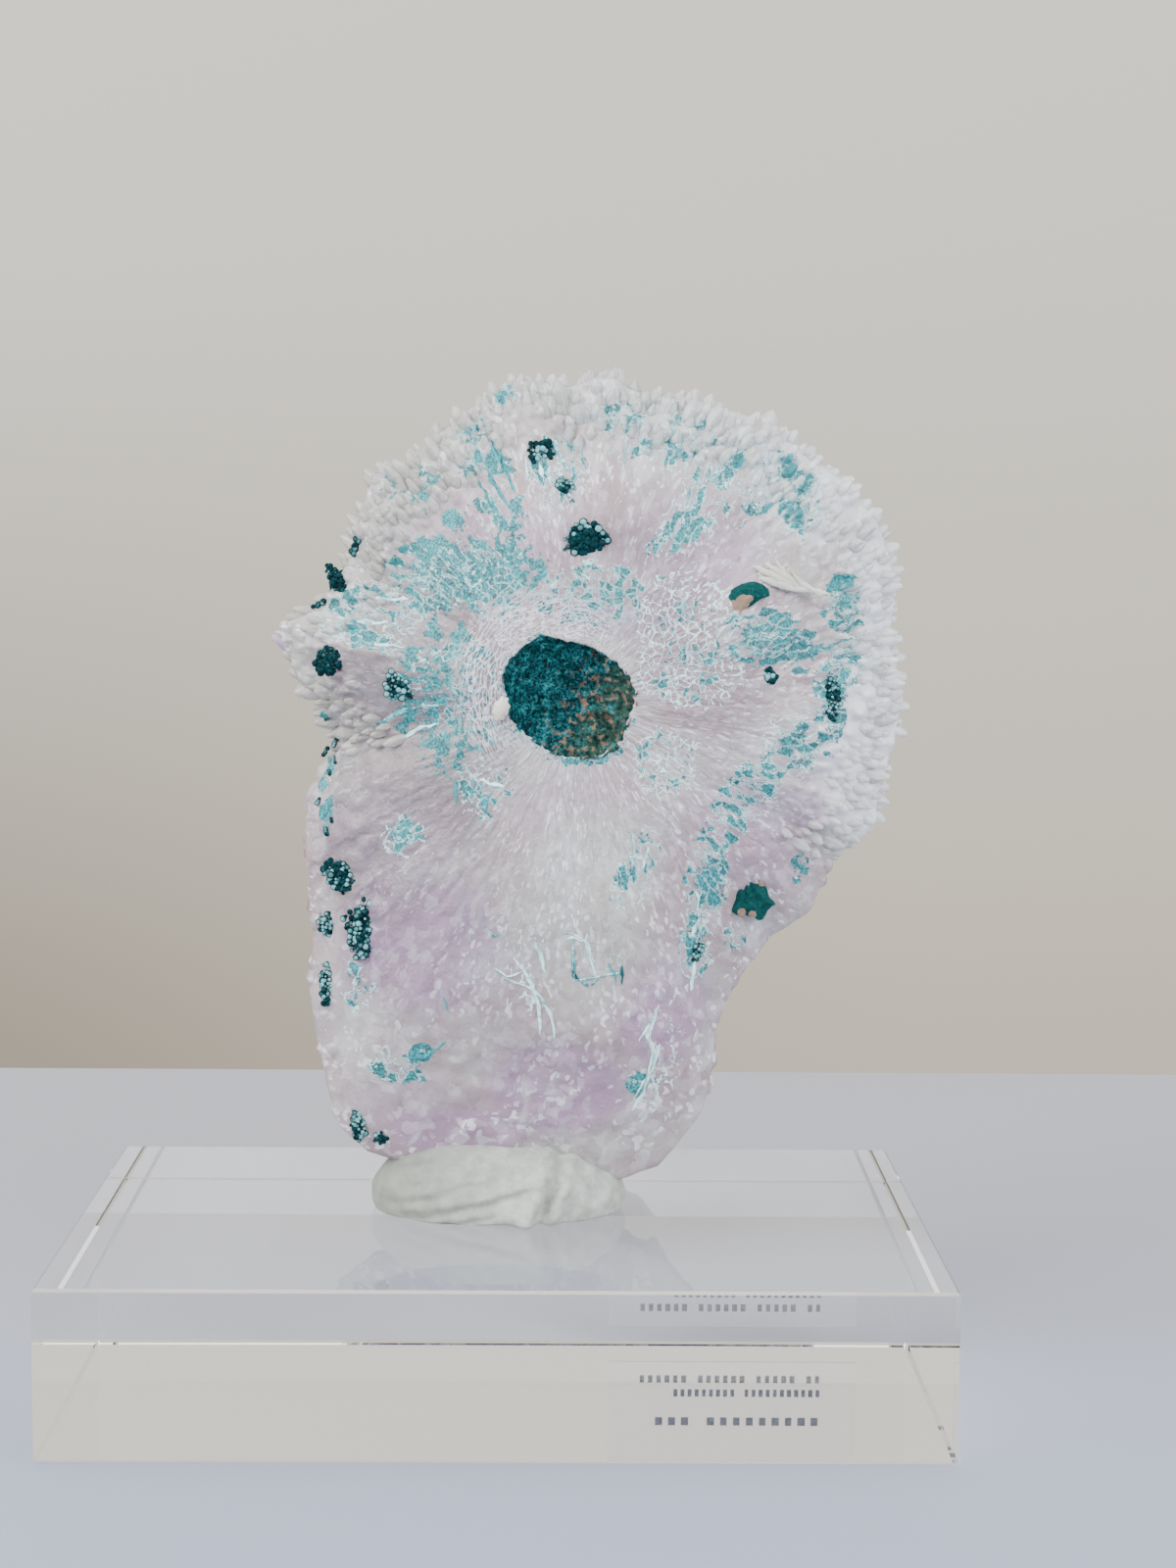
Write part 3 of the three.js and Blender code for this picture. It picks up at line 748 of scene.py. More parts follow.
def mass_place(t, degrees):
    """The place of a corner of the net, with t from 0 at the core to 1 in the middle of the far side."""
    reach = mass_reach(degrees)
    pit = core_radius(degrees) + PIT_GAP
    if t < PIT_SHARE:
        plug = Vector((CORE_PLUG["x"] - CORE.x, 0, CORE_PLUG["z"] - CORE.z))
        return point_on(degrees, pit * min(1, t / PIT_SHARE / 0.8), CORE_SEAT) + plug
    if t < FRONT_SHARE:
        ring = pit + (reach - pit) * (t - PIT_SHARE) / (FRONT_SHARE - PIT_SHARE)
        depth = front_depth(ring / reach) - front_relief(degrees, ring / reach, ring)
    elif t < RIM_SHARE:
        way = (t - FRONT_SHARE) / (RIM_SHARE - FRONT_SHARE)
        depth = RIM_FRONT - 0.5 + (RIM_BACK - RIM_FRONT + 0.5) * way
        knobs = ring_noise(math.radians(degrees), 14, depth * 0.3) * 1.1
        ring = reach * (1 + 0.012 * math.sin(way * math.pi)) + (knobs - 0.3) * math.sin(way * math.pi)
    else:
        share = (1 - t) / (1 - RIM_SHARE)
        ring = reach * share
        depth = back_depth(share) + noise.noise(point_on(degrees, ring, 0) * 0.11) * 1.2 * (1 - share)
    return point_on(degrees, ring, depth)


def net_place(vert):
    """Where a corner of a round net lies: its share of the way from pole to pole, and its degrees."""
    return math.acos(max(-1, min(1, vert.co.z))) / math.pi, math.degrees(math.atan2(vert.co.y, vert.co.x))


def keep_piece(name, bm, material, slot, node=None, smooth=True, caps=None):
    """Makes a piece that rides on the root body, in the place of the node that it replaces, if any."""
    piece = finish_object(name, bm, material, smooth=smooth)
    if slot == "quartz":
        paint_marks(piece.data)
    if caps:
        paint_shares(piece.data, "caps", caps)
    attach(piece, "root")
    if node:
        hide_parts(node)
    print(name + ":", len(piece.data.polygons), "faces")


def make_mass():
    bm = bmesh.new()
    bmesh.ops.create_uvsphere(bm, u_segments=MASS_NET["around"], v_segments=MASS_NET["rings"], radius=1)
    for vert in bm.verts:
        vert.co = mass_place(*net_place(vert))
    keep_piece("quartz_mass", bm, quartz_finish, "quartz", "amethyst")


make_mass()

# %% [markdown]
# Quartz grows as six-sided prisms with six-sided tips. One small crystal is made with operators,
# and copied with its own length, width and lean wherever the flower needs one.

# %% Crystals


def make_crystal_mesh():
    """A six-sided prism one wide, with its shoulder at height 1, a blunt tip at 2, and worn edges."""
    bm = bmesh.new()
    bmesh.ops.create_circle(bm, cap_ends=True, segments=6, radius=0.5)
    top = bm.faces[:]
    for step, narrow in enumerate((1, 0.34)):
        made = bmesh.ops.extrude_face_region(bm, geom=top)["geom"]
        ring = [e for e in made if isinstance(e, bmesh.types.BMVert)]
        bmesh.ops.translate(bm, vec=(0, 0, 1), verts=ring)
        bmesh.ops.scale(bm, vec=(narrow, narrow, 1), verts=ring)
        if step > 0:
            bmesh.ops.delete(bm, geom=top, context="FACES_ONLY")
        top = [e for e in made if isinstance(e, bmesh.types.BMFace)]
    worn = [e for e in bm.edges if max(v.co.z for v in e.verts) > 0.5]
    bmesh.ops.bevel(bm, geom=worn, offset=0.07, segments=1, profile=0.5, affect="EDGES", material=-1)
    bmesh.ops.recalc_face_normals(bm, faces=bm.faces)
    mesh = bpy.data.meshes.new("crystal")
    bm.to_mesh(mesh)
    print("crystal:", len(bm.verts), "corners, closed:", all(len(e.link_faces) == 2 for e in bm.edges))
    bm.free()
    return mesh


crystal_mesh = make_crystal_mesh()


def add_crystal(bm, at, along, width, length, tip, twist, skew=0.0):
    """One crystal, rooted at a point and grown along a direction. Its tip is a share of its width high."""
    start = len(bm.verts)
    bm.from_mesh(crystal_mesh)
    bm.verts.ensure_lookup_table()
    turn = along.to_track_quat("Z", "Y").to_matrix() @ Matrix.Rotation(twist, 3, "Z")
    shoulder = length - tip * width
    for vert in bm.verts[start:]:
        level = vert.co.z
        if level > 1:
            height = shoulder + (level - 1) * tip * width
        elif level > 0.8:
            height = shoulder - (1 - level) * width
        else:
            height = level / 0.8 * (shoulder - 0.2 * width)
        lean = skew * width * max(0, level - 1)
        flat = Vector((vert.co.x * width + lean, vert.co.y * width * (1 - abs(skew)), height))
        vert.co = at + turn @ flat


def crystals_object(name, places, material):
    bm = bmesh.new()
    for place in places:
        add_crystal(bm, **place)
    keep_piece(name, bm, material, "quartz", "amethyst", smooth=False)


def bead_mesh():
    bm = bmesh.new()
    bmesh.ops.create_icosphere(bm, subdivisions=2, radius=1)
    mesh = bpy.data.meshes.new("bead")
    bm.to_mesh(mesh)
    bm.free()
    return mesh


BEAD = bead_mesh()


def add_bead(bm, at, size):
    """A bead at a point. Returns how squarely each of its corners faces the front, from -1 to 1."""
    start = len(bm.verts)
    bm.from_mesh(BEAD)
    bm.verts.ensure_lookup_table()
    facing = [-vert.co.y for vert in bm.verts[start:]]
    for vert in bm.verts[start:]:
        vert.co = Vector((vert.co.x * size.x, vert.co.y * size.y, vert.co.z * size.z)) + at
    return facing


def outward(degrees, lean):
    around = math.radians(degrees)
    return Vector((math.cos(around), lean, math.sin(around))).normalized()


# %% [markdown]
# Round the rim the crystals stand free and are nearly colourless, so they let the room show
# through.

# %% Rim points


def make_clear_quartz():
    material, tree, shader = new_material(
        "clear_quartz", Transmission_Weight=0.62, IOR=1.42, Subsurface_Weight=0.35, Subsurface_Scale=0.002,
        Subsurface_Radius=(1.0, 1.0, 1.0),
    )
    place = place_in_mm(tree)
    haze = speckle(tree, place, 0.16, detail=4)
    streak = speckle(tree, fanned(tree, 60.0, 6.0, 1.0), 1.0, detail=4)
    across = axes_of(tree, place)[0]
    colour = blend(tree, ramp(tree, haze, 0.35, 0.7), (0.66, 0.655, 0.625, 1), (0.84, 0.84, 0.85, 1))
    colour = layered(tree, colour, (
        (streak, 0.54, 0.72, 0.7, (0.96, 0.96, 0.98, 1)),
        (streak, 0.48, 0.28, 0.5, (0.42, 0.41, 0.38, 1)),
        (across, 4, -24, 0.4, (0.66, 0.61, 0.48, 1)),
        # Painted light: the crystals turn whiter towards the right.
        (across, 18, 48, 0.75, (0.98, 0.98, 0.98, 1)),
    ))
    lace = painted_lace(tree, teal_share=0.62)[0]
    colour = blend(tree, lace["Teal"], colour, (0.03, 0.38, 0.42, 1))
    colour = blend(tree, lace["White"], colour, (0.70, 0.97, 1.0, 1))
    wire(
        tree, shader, Base_Color=colour, Roughness=ramp(tree, haze, 0.3, 0.7, 0.1, 0.32),
        Normal=bump(tree, speckle(tree, place, 1.2, detail=4), 0.35, 0.0003),
    )
    return material


clear_finish = make_clear_quartz()
# Each row's depth of the tips, or None to lie on the near side, lean, gap to the edge, width and count.
RIM_ROWS = [
    (None, -0.28, 7.6, 1.8, 86), (None, -0.25, 5.4, 2.0, 94), (None, -0.2, 3.2, 2.2, 98),
    (-0.2, -0.1, 1.4, 2.2, 98), (2.4, 0.0, 0.2, 2.4, 96), (5.4, 0.15, 0.0, 2.8, 84),
    (8.6, 0.4, 0.6, 3.5, 70), (11.6, 0.7, 2.2, 4.2, 56),
]


def covers_green(tip, direction):
    """Whether a crystal on the near side would hide one of the green lumps."""
    for low, high in GREEN_BOXES:
        middle, half = (low + high) / 2, (high - low) / 2
        for back in (0, 2, 4):
            at = tip - direction * back - middle
            if abs(at.x) < half.x + 0.9 and abs(at.z) < half.z + 0.9:
                return True
    return False


GREEN = sorted(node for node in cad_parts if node.startswith("green_"))
GREEN_BOXES = [tuple(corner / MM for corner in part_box(node)) for node in GREEN]


def rim_points():
    places = []
    for row, (depth, lean, short, width, count) in enumerate(RIM_ROWS):
        for i in range(count):
            key = row * 100 + i
            degrees = ROSETTE[0] + (ROSETTE[1] - ROSETTE[0]) * (i + 0.5 + spread(key, 10, 0.4)) / count
            wide = width * (1 + spread(key, 11, 0.3))
            tip_at = reach_at(degrees) - short - 2.4 * chance(key, 12)
            surface = front_depth(min(1, tip_at / mass_reach(degrees))) - 0.9 - 0.7 * chance(key, 16)
            tip_depth = surface if depth is None else depth + spread(key, 16, 0.9)
            length = 8 + 2 * chance(key, 13)
            direction = outward(degrees + spread(key, 14, 8), lean + spread(key, 15, 0.14))
            tip = point_on(degrees, tip_at, tip_depth)
            if tip_depth < 1 and covers_green(tip, direction):
                continue
            places.append({
                "at": tip - direction * length, "along": direction, "width": wide, "length": length,
                "tip": 0.5 + 0.3 * chance(key, 17), "twist": chance(key, 18), "skew": spread(key, 19, 0.18),
            })
    return places


crystals_object("rim_points", rim_points(), clear_finish)

# %% [markdown]
# Below the rosette the edge of the lobe is rounder, with blunt lumps of crystal. The far side is
# the flower's own face, closed points in pale lilac that turn outwards from its middle.

# %% Lobe lumps and the flower's face
LOBE_LUMPS = 150
# The points all over the face, and those added on the lobe, which reaches further out, between two degrees.
FACE_POINTS, LOBE_POINTS, LOBE_SPAN = 520, 200, (215, 295)
FACE_POINT_LENGTH = 9.5


def make_lobe_lumps():
    bm = bmesh.new()
    span = 360 - (ROSETTE[1] - ROSETTE[0])
    for i in range(LOBE_LUMPS):
        degrees = ROSETTE[1] + span * chance(i, 20)
        radius = 2.4 + spread(i, 21, 1.0)
        out = reach_at(degrees) - radius - 0.2 - 0.9 * chance(i, 24)
        at = point_on(degrees, out - 0.3, 2.6 + 7 * chance(i, 25))
        add_bead(bm, at, Vector((1, 1.1, 1)) * radius)
    bm.normal_update()
    for vert in bm.verts:
        vert.co += vert.normal * noise.noise(vert.co * 0.4) * 0.9
    keep_piece("lobe_lumps", bm, quartz_finish, "quartz", "amethyst")


def face_points():
    places = []
    for i in range(FACE_POINTS + LOBE_POINTS):
        share, degrees = math.sqrt((i + 0.6) / FACE_POINTS) * 0.985, i * GOLDEN_ANGLE
        if i >= FACE_POINTS:
            share = 0.25 + 0.72 * math.sqrt(chance(i, 38))
            degrees = LOBE_SPAN[0] + (LOBE_SPAN[1] - LOBE_SPAN[0]) * chance(i, 37)
        splay, around = 0.2 + 0.8 * share, math.radians(degrees)
        direction = Vector((math.cos(around) * splay, 1, math.sin(around) * splay))
        direction += Vector((spread(i, 30, 0.25), 0, spread(i, 31, 0.25)))
        direction.normalize()
        root = point_on(degrees, mass_reach(degrees) * share, back_depth(share))
        places.append({
            "at": root + direction * (3.4 + spread(i, 33, 1.5) - FACE_POINT_LENGTH), "along": direction,
            "width": 5.0 + spread(i, 32, 1.6), "length": FACE_POINT_LENGTH,
            "tip": 0.7 + 0.2 * chance(i, 34), "twist": chance(i, 35), "skew": spread(i, 36, 0.15),
        })
    return places


def make_face_quartz():
    material, tree, shader = new_material(
        "pale_amethyst", Transmission_Weight=0.45, IOR=1.54, Subsurface_Weight=0.25, Subsurface_Scale=0.004,
        Subsurface_Radius=(1.0, 0.85, 1.0),
    )
    place = place_in_mm(tree)
    haze = speckle(tree, place, 0.09, detail=4)
    wire(
        tree, shader, Roughness=ramp(tree, haze, 0.3, 0.7, 0.1, 0.25),
        Base_Color=blend(tree, ramp(tree, haze, 0.35, 0.65), (0.38, 0.25, 0.49, 1), (0.62, 0.55, 0.68, 1)),
        Normal=bump(tree, speckle(tree, place, 1.2, detail=4), 0.3, 0.0003),
    )
    return material


make_lobe_lumps()
crystals_object("flower_face_points", face_points(), make_face_quartz())

# %% [markdown]
# The matrix is a clay-like green mineral in tiny round grains, teal on their sides. Painted shade
# darkens the hollows between them and painted highlights lighten their tops, following the same
# noise as the bump. Three materials share that look, so it is a group. The core adds olive and
# beige where the quartz shows through, the smooth plates have bare beige spots of their own, and
# the beads have painted highlights on the tops that face the front.

# %% Matrix finishes


def make_grain_group():
    tree, start, end = new_group(
        "matrix_grain", {"Dark": "Color", "Middle": "Color", "Light": "Color"},
        {"Color": "Color", "Height": "Float", "Patch": "Float"},
    )
    place = place_in_mm(tree)
    grain = speckle(tree, place, 2.4, detail=5, roughness=0.75)
    # Painted shade where the noise is low, between the grains, and painted highlights where it is high, on
    # their tops.
    colour = blend(tree, ramp(tree, grain, 0.42, 0.58), start.outputs["Dark"], start.outputs["Middle"])
    colour = blend(tree, ramp(tree, grain, 0.58, 0.72), colour, start.outputs["Light"])
    wire(tree, end, Color=colour, Height=grain, Patch=speckle(tree, place, 0.85, detail=4, roughness=0.6))
    return tree


grain_group = make_grain_group()
# The second colour is painted shade, for the pits of the core.
BEIGE, PAINTED_PIT_SHADE = (0.26, 0.17, 0.125, 1), (0.001, 0.010, 0.013, 1)


def start_matrix(name, dark, middle, light, depth):
    material, tree, shader = new_material(name, Roughness=0.8, Specular_IOR_Level=0.08)
    grain = use_group(tree, grain_group, Dark=dark, Middle=middle, Light=light).outputs
    wire(tree, shader, Normal=bump(tree, grain["Height"], 1.0, depth))
    return material, tree, shader, grain


def make_core_finish():
    """Teal at left, olive with crisp beige patches at lower right, painted shade in pits, painted
    highlights.
    """
    material, tree, shader, grain = start_matrix(
        "matrix_core", (0.001, 0.012, 0.015, 1), (0.010, 0.135, 0.15, 1), (0.07, 0.44, 0.47, 1), 0.0009,
    )
    place, patch = place_in_mm(tree), grain["Patch"]
    across, _, up = axes_of(tree, place)
    slanted = sum_of(tree, "MULTIPLY_ADD", up, -0.55, across)
    to_right = ramp(tree, sum_of(tree, "MULTIPLY_ADD", patch, 16.0, slanted), -40, -35)
    olive = times(tree, to_right, ramp(tree, grain["Height"], 0.35, 0.6, 0.5, 0.95))
    colour = blend(tree, olive, grain["Color"], (0.04, 0.095, 0.065, 1))
    # Painted shade: near-black in the pits.
    colour = blend(tree, ramp(tree, patch, 0.45, 0.36, 0.0, 0.85), colour, PAINTED_PIT_SHADE)
    # Painted highlights: lighter teal on the grain tops in some clusters.
    cluster = speckle(tree, place, 0.42, detail=5, roughness=0.7)
    painted_highlight = times(tree, ramp(tree, cluster, 0.5, 0.64), ramp(tree, grain["Height"], 0.4, 0.55))
    colour = blend(tree, times(tree, painted_highlight, 0.6), colour, (0.05, 0.38, 0.41, 1))
    beige = times(tree, ramp(tree, patch, 0.55, 0.58), ramp(tree, slanted, -52, -44))
    rare = times(tree, ramp(tree, patch, 0.66, 0.69), 0.8)
    wire(tree, shader, Base_Color=blend(tree, sum_of(tree, "MAXIMUM", beige, rare), colour, BEIGE))
    return material


def make_plate_finish():
    """Smooth dark teal-green, with bare spots where the attribute says so."""
    material, tree, shader, grain = start_matrix(
        "matrix_plate", (0.002, 0.035, 0.034, 1), (0.003, 0.06, 0.057, 1), (0.008, 0.13, 0.125, 1), 0.0002,
    )
    bare = sum_of(tree, "MULTIPLY_ADD", grain["Patch"], 0.6, painted(tree, "caps")["Fac"])
    wire(tree, shader, Base_Color=blend(tree, ramp(tree, bare, 0.72, 0.8), grain["Color"], BEIGE))
    return material


def make_druse_finish():
    """Dark beads with painted highlights on their tops, where the attribute says so."""
    material, tree, shader, grain = start_matrix(
        "matrix_druse", (0.001, 0.010, 0.012, 1), (0.003, 0.045, 0.052, 1), (0.01, 0.13, 0.145, 1), 0.0003,
    )
    # Painted highlights on the tops of the beads that face the front.
    tops = ramp(tree, painted(tree, "caps")["Fac"], 0.2, 0.7)
    pale = times(tree, tops, ramp(tree, grain["Height"], 0.3, 0.55, 0.4, 1.0))
    wire(tree, shader, Base_Color=blend(tree, pale, grain["Color"], (0.20, 0.46, 0.47, 1)))
    return material


core_finish, plate_finish, druse_finish = make_core_finish(), make_plate_finish(), make_druse_finish()
print("matrix materials:", core_finish.name, plate_finish.name, druse_finish.name)

# %% [markdown]
# The core, the fan and the crescent are plugs of matrix set in the quartz. A ball's net makes each:
# its near side spreads over the outline, which is a list of radii round the middle, and its far
# side sinks into the stone.

# %% Core, fan and crescent
PLUG_NET = {"u_segments": 150, "v_segments": 90}
# The shares of the net, from pole to pole, at which a plug's near side ends and its far side begins.
PLUG_EDGE, PLUG_BACK = 0.6, 0.7
# The middle x and z of the fan and the crescent, and the hinge that their grooves fan out from.
FAN_MIDDLE, CRESCENT_MIDDLE, HINGE = (37, 75.6), (34.8, 121), (36, 79.5)
# Degrees and radius of each outline.
FAN_OUTLINE = [
    (0, 3.2), (17, 3.13), (41, 3.05), (56, 3.6), (74, 3.85), (96, 3.72), (122, 3.4), (153, 3.6),
    (172, 4.3), (181, 4.4), (190, 3.4), (198, 3.9), (206, 2.7), (215, 3.3), (240, 3.3), (247, 3.05),
    (256, 3.3), (262, 2.9), (278, 3.2), (287, 3.1), (293, 4.0), (303, 4.27), (324, 3.72), (338, 3.9),
    (344, 4.45), (350, 3.6), (360, 3.2),
]
CRESCENT_OUTLINE = [
    (0, 3.1), (4, 4.2), (19, 4.2), (44, 3.3), (74, 2.2), (105, 1.8), (135, 1.75), (172, 2.3),
    (190, 2.25), (227, 2.5), (251, 3.6), (268, 3.3), (280, 1.9), (291, 1.7), (320, 1.9), (345, 2.3),
    (357, 2.9), (360, 3.1),
]
# The middle x and z and the radius of each bare beige spot.
FAN_BARE = [
    (36.1, 73.2, 0.5), (37.7, 72.9, 0.45), (33.5, 75.1, 0.8), (39.1, 77.7, 0.4), (34.4, 77.4, 0.3),
]
CRESCENT_BARE = [(33.9, 119.2, 1.1), (34.4, 118.3, 0.9), (35.0, 120.4, 0.8), (36.0, 120.9, 0.4)]


def matrix_plug(name, node, middle, radius_at, depths, relief, material, bare=()):
    front, back = depths
    bm = bmesh.new()
    bmesh.ops.create_uvsphere(bm, **PLUG_NET, radius=1)
    caps = []
    for vert in bm.verts:
        t, degrees = net_place(vert)
        share = min(1, t / PLUG_EDGE) if t < PLUG_BACK else (1 - t) / (1 - PLUG_BACK)
        ring = radius_at(degrees) * share
        x = middle[0] + ring * math.cos(math.radians(degrees))
        z = middle[1] + ring * math.sin(math.radians(degrees))
        sunk = 0 if t < PLUG_EDGE else min(1, (t - PLUG_EDGE) / (PLUG_BACK - PLUG_EDGE))
        depth = front + relief(x, z, share) if t < PLUG_BACK else back
        vert.co = Vector((x, depth + (back - depth) * sunk, z))
        caps.append(max([0] + [min(1, 1.4 - 0.7 * math.hypot(x - bx, z - bz) / r) for bx, bz, r in bare]))
    keep_piece(name, bm, material, "matrix", node, caps=caps)


def core_relief(x, z, share):
    grains = ripple(x, z, 1, 1.3) * 0.9 + ripple(x, z, 4, 0.45)
    return 1.6 * (1 - share**3) + grains - 0.7


def plate_relief(x, z, share):
    """Grooves that fan out from a hinge near the top, on a low dome."""
    turned = math.atan2(z - HINGE[1], x - HINGE[0])
    return 0.6 * share**3 + 0.2 * math.sin(turned * 16) + ripple(x, z, 2, 0.9) * 0.3


def radii(outline):
    return lambda degrees: float(np.interp(degrees % 360, *zip(*outline)))


matrix_plug(
    "green_core_grains", "green_core", (CORE_PLUG["x"], CORE_PLUG["z"]), core_radius,
    (CORE_PLUG["front"], CORE_PLUG["back"] - 0.7), core_relief, core_finish,
)
matrix_plug(
    "green_fan_plate", "green_fan_lower_right", FAN_MIDDLE, radii(FAN_OUTLINE), (-5.2, -2.2), plate_relief,
    plate_finish, FAN_BARE,
)
matrix_plug(
    "green_crescent_plate", "green_crescent_right", CRESCENT_MIDDLE, radii(CRESCENT_OUTLINE), (-11.2, -8.2),
    plate_relief, plate_finish, CRESCENT_BARE,
)

# %% [markdown]
# A few cracks in the quartz run on as long fine threads, teal near the rim and nearly white low
# down. Each is a ball drawn out along a bent line, and every corner of it is laid on the mass's own
# surface.

# %% Threads
# Each thread's points in the front view, its width in millimetres, and how teal it is.
THREADS = [
    ([(-3.5, 145.3), (-2.1, 142.8), (-0.6, 140.3), (0.4, 138.5), (1.5, 136)], 0.5, 0.7),
    ([(-3.3, 140.3), (-2.1, 137.9), (-0.9, 136), (0.7, 133.2)], 0.4, 0.8),
    ([(-5.2, 141.6), (-3.6, 139.1)], 0.4, 0.6), ([(-7.7, 145.3), (-6.6, 143.4)], 0.35, 0.6),
    ([(-4.3, 137.9), (-3, 135.7), (-1.8, 133.8)], 0.35, 0.8), ([(2.9, 141.6), (3.3, 137.9)], 0.3, 0.3),
    ([(5, 140.3), (5.5, 137.9)], 0.35, 0.2), ([(6.1, 139.7), (6.7, 137.5)], 0.35, 0.3),
    ([(6.9, 144.3), (8.1, 141.3), (9, 139.1)], 0.5, 0.5),
    ([(20.4, 147.7), (20.1, 144.1), (19.9, 142)], 0.4, 0.3),
    ([(23.6, 148), (24.9, 145.9), (25.8, 144.5), (26.1, 142)], 0.35, 0.4),
    ([(23.3, 143.8), (25.6, 145)], 0.3, 1.0), ([(15.1, 149.8), (14.2, 147.3)], 0.3, 0.9),
    ([(17.6, 144.1), (17.8, 141.6), (16.9, 138.8)], 0.3, 0.4),
    ([(34, 130.9), (36.1, 133.1)], 0.35, 0.4),
    ([(-1.6, 65.2), (1.5, 63.3), (4.3, 62.2), (7.1, 58.8), (7.9, 54.3)], 0.45, 0.2),
    ([(1.5, 66.7), (3.7, 64.4), (5.4, 59.9), (5.7, 54.8)], 0.4, 0.2),
    ([(4.9, 69.5), (6.3, 64.4)], 0.35, 0.3),
    ([(10.5, 71.2), (10.7, 63.8), (13, 62.7), (15.2, 64.4)], 0.3, 0.5),
    ([(9.1, 71.2), (12.2, 70), (13.8, 66.1)], 0.35, 0.1),
    ([(23.4, 58.8), (21.7, 54.9), (23.1, 51.5), (21.7, 46.4), (20, 41.9)], 0.5, 0.1),
    ([(29, 76.8), (29.6, 72.3), (28.2, 69.5)], 0.5, 0.2), ([(29.3, 65.5), (28.5, 61)], 0.45, 0.2),
    ([(-7.2, 94.2), (-7, 89.7)], 0.35, 0.8), ([(-4.2, 94.2), (-4.7, 90.9)], 0.3, 0.7),
    ([(-2.5, 92), (-2.7, 88.6)], 0.3, 0.7), ([(-3.9, 93.7), (0.3, 93.1)], 0.4, 0.2),
    ([(-20.6, 101), (-13.6, 104.2), (-9.6, 104.8)], 0.5, 0.5), ([(-15.8, 99.5), (-9.8, 102)], 0.5, 0.2),
    ([(-25.5, 117.1), (-17.3, 116.6)], 0.5, 0.1), ([(-19.6, 113.6), (-14.6, 113.2)], 0.4, 0.1),
    ([(12.2, 70.8), (13, 67.4), (13.9, 64.1)], 0.3, 0.2),
    ([(10.5, 63.4), (14.6, 64.1), (17.9, 64.7)], 0.3, 0.4), ([(17.9, 65.6), (17.8, 63)], 0.35, 1.0),
    ([(15.9, 66.3), (16.9, 63)], 0.25, 0.7), ([(8.8, 70.1), (12.5, 69.8)], 0.35, 0.1),
    ([(-3, 72.2), (-1.6, 70.1), (-0.4, 70.9)], 0.3, 0.6),
    ([(-1.4, 65), (1.1, 64.1), (2.9, 64.7)], 0.25, 0.2),
    ([(23.5, 59.2), (21.6, 55.3), (20.8, 53.6)], 0.3, 0.3),
    ([(23.9, 53.3), (23, 49.2), (20, 44.5)], 0.3, 0.1), ([(-9, 61), (-8.2, 58)], 0.2, 0.7),
    ([(18.5, 87), (19.8, 83.6), (18.7, 79.8)], 0.3, 0.4), ([(21.6, 84), (20.5, 80.5)], 0.3, 0.3),
    ([(-22.8, 120.5), (-14.2, 119.9)], 0.4, 0.1),
    ([(-12.7, 50.2), (-10.4, 52), (-8.3, 53.5)], 0.3, 0.8),
]


def surface_at(x, z):
    """The depth of the mass's near side at a place in the front view."""
    degrees = math.degrees(math.atan2(z - CORE.z, x - CORE.x))
    distance = math.hypot(x - CORE.x, z - CORE.z)
    share = distance / mass_reach(degrees)
    return front_depth(share) - front_relief(degrees, share, distance)


def make_thread_finish():
    material, tree, shader = new_material("crack_threads", Roughness=0.6, Specular_IOR_Level=0.3)
    grain = speckle(tree, place_in_mm(tree), 1.4, detail=4)
    mottle = sum_of(tree, "MULTIPLY_ADD", grain, 1.2, painted(tree, "caps")["Fac"])
    colour = blend(tree, ramp(tree, mottle, 0.75, 1.25), (0.60, 0.86, 0.88, 1), (0.02, 0.28, 0.31, 1))
    colour = blend(tree, ramp(tree, mottle, 1.3, 1.7), colour, (0.003, 0.06, 0.065, 1))
    wire(tree, shader, Base_Color=colour)
    return material


def make_threads():
    bm, caps = bmesh.new(), []
    for row, (points, wide, teal) in enumerate(THREADS):
        steep = abs(points[-1][1] - points[0][1]) > abs(points[-1][0] - points[0][0])
        for vert in bmesh.ops.create_icosphere(bm, subdivisions=3, radius=1)["verts"]:
            n = vert.co.copy()
            t = (n.x + 1) / 2 * (len(points) - 1)
            i = min(int(t), len(points) - 2)
            x, z = (a + (b - a) * (t - i) for a, b in zip(points[i], points[i + 1]))
            wobble = noise.noise_vector(Vector((x, z, row)) * 0.9) * 0.5
            out = n.z * (wide * (0.65 + 0.8 * ripple(x, z, 6, 1.1)))
            x, z = x + wobble.x + (out if steep else 0), z + wobble.z + (0 if steep else out)
            vert.co = Vector((x, surface_at(x, z) + 0.12 * n.y - 0.03, z))
            caps.append(teal)
    bmesh.ops.recalc_face_normals(bm, faces=bm.faces)
    keep_piece("crack_threads", bm, make_thread_finish(), "matrix", caps=caps)


make_threads()

# %% [markdown]
# The smaller druses are heaps of beads. Each heap fills the place of its plain solid in the frame,
# so its centre and size are read from there.

# %% Druses of green beads


def long_axes(node):
    """A node's middle, its long and short directions in the front view, and its half sizes."""
    co = places_in_mm(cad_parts[node].data)
    middle = (co.max(axis=0) + co.min(axis=0)) / 2
    flat = (co - middle)[:, [0, 2]]
    directions = np.linalg.eigh(np.cov(flat.T))[1].T[::-1]
    halves = [float(np.abs(flat @ d).max()) for d in directions]
    axes = [Vector((float(d[0]), 0, float(d[1]))) for d in directions]
    return Vector([float(v) for v in middle]), axes, halves, float(np.ptp(co[:, 1]) / 2)


def painted_top_highlights(pale, facings):
    """How much painted highlight each corner of a bead gets: only the part that faces the front gets any.
    """
    return [pale * max(0, min(1, (facing - 0.45) * 2.4)) for facing in facings]


MOST_BEADS, FEWEST_BEADS = 150, 9
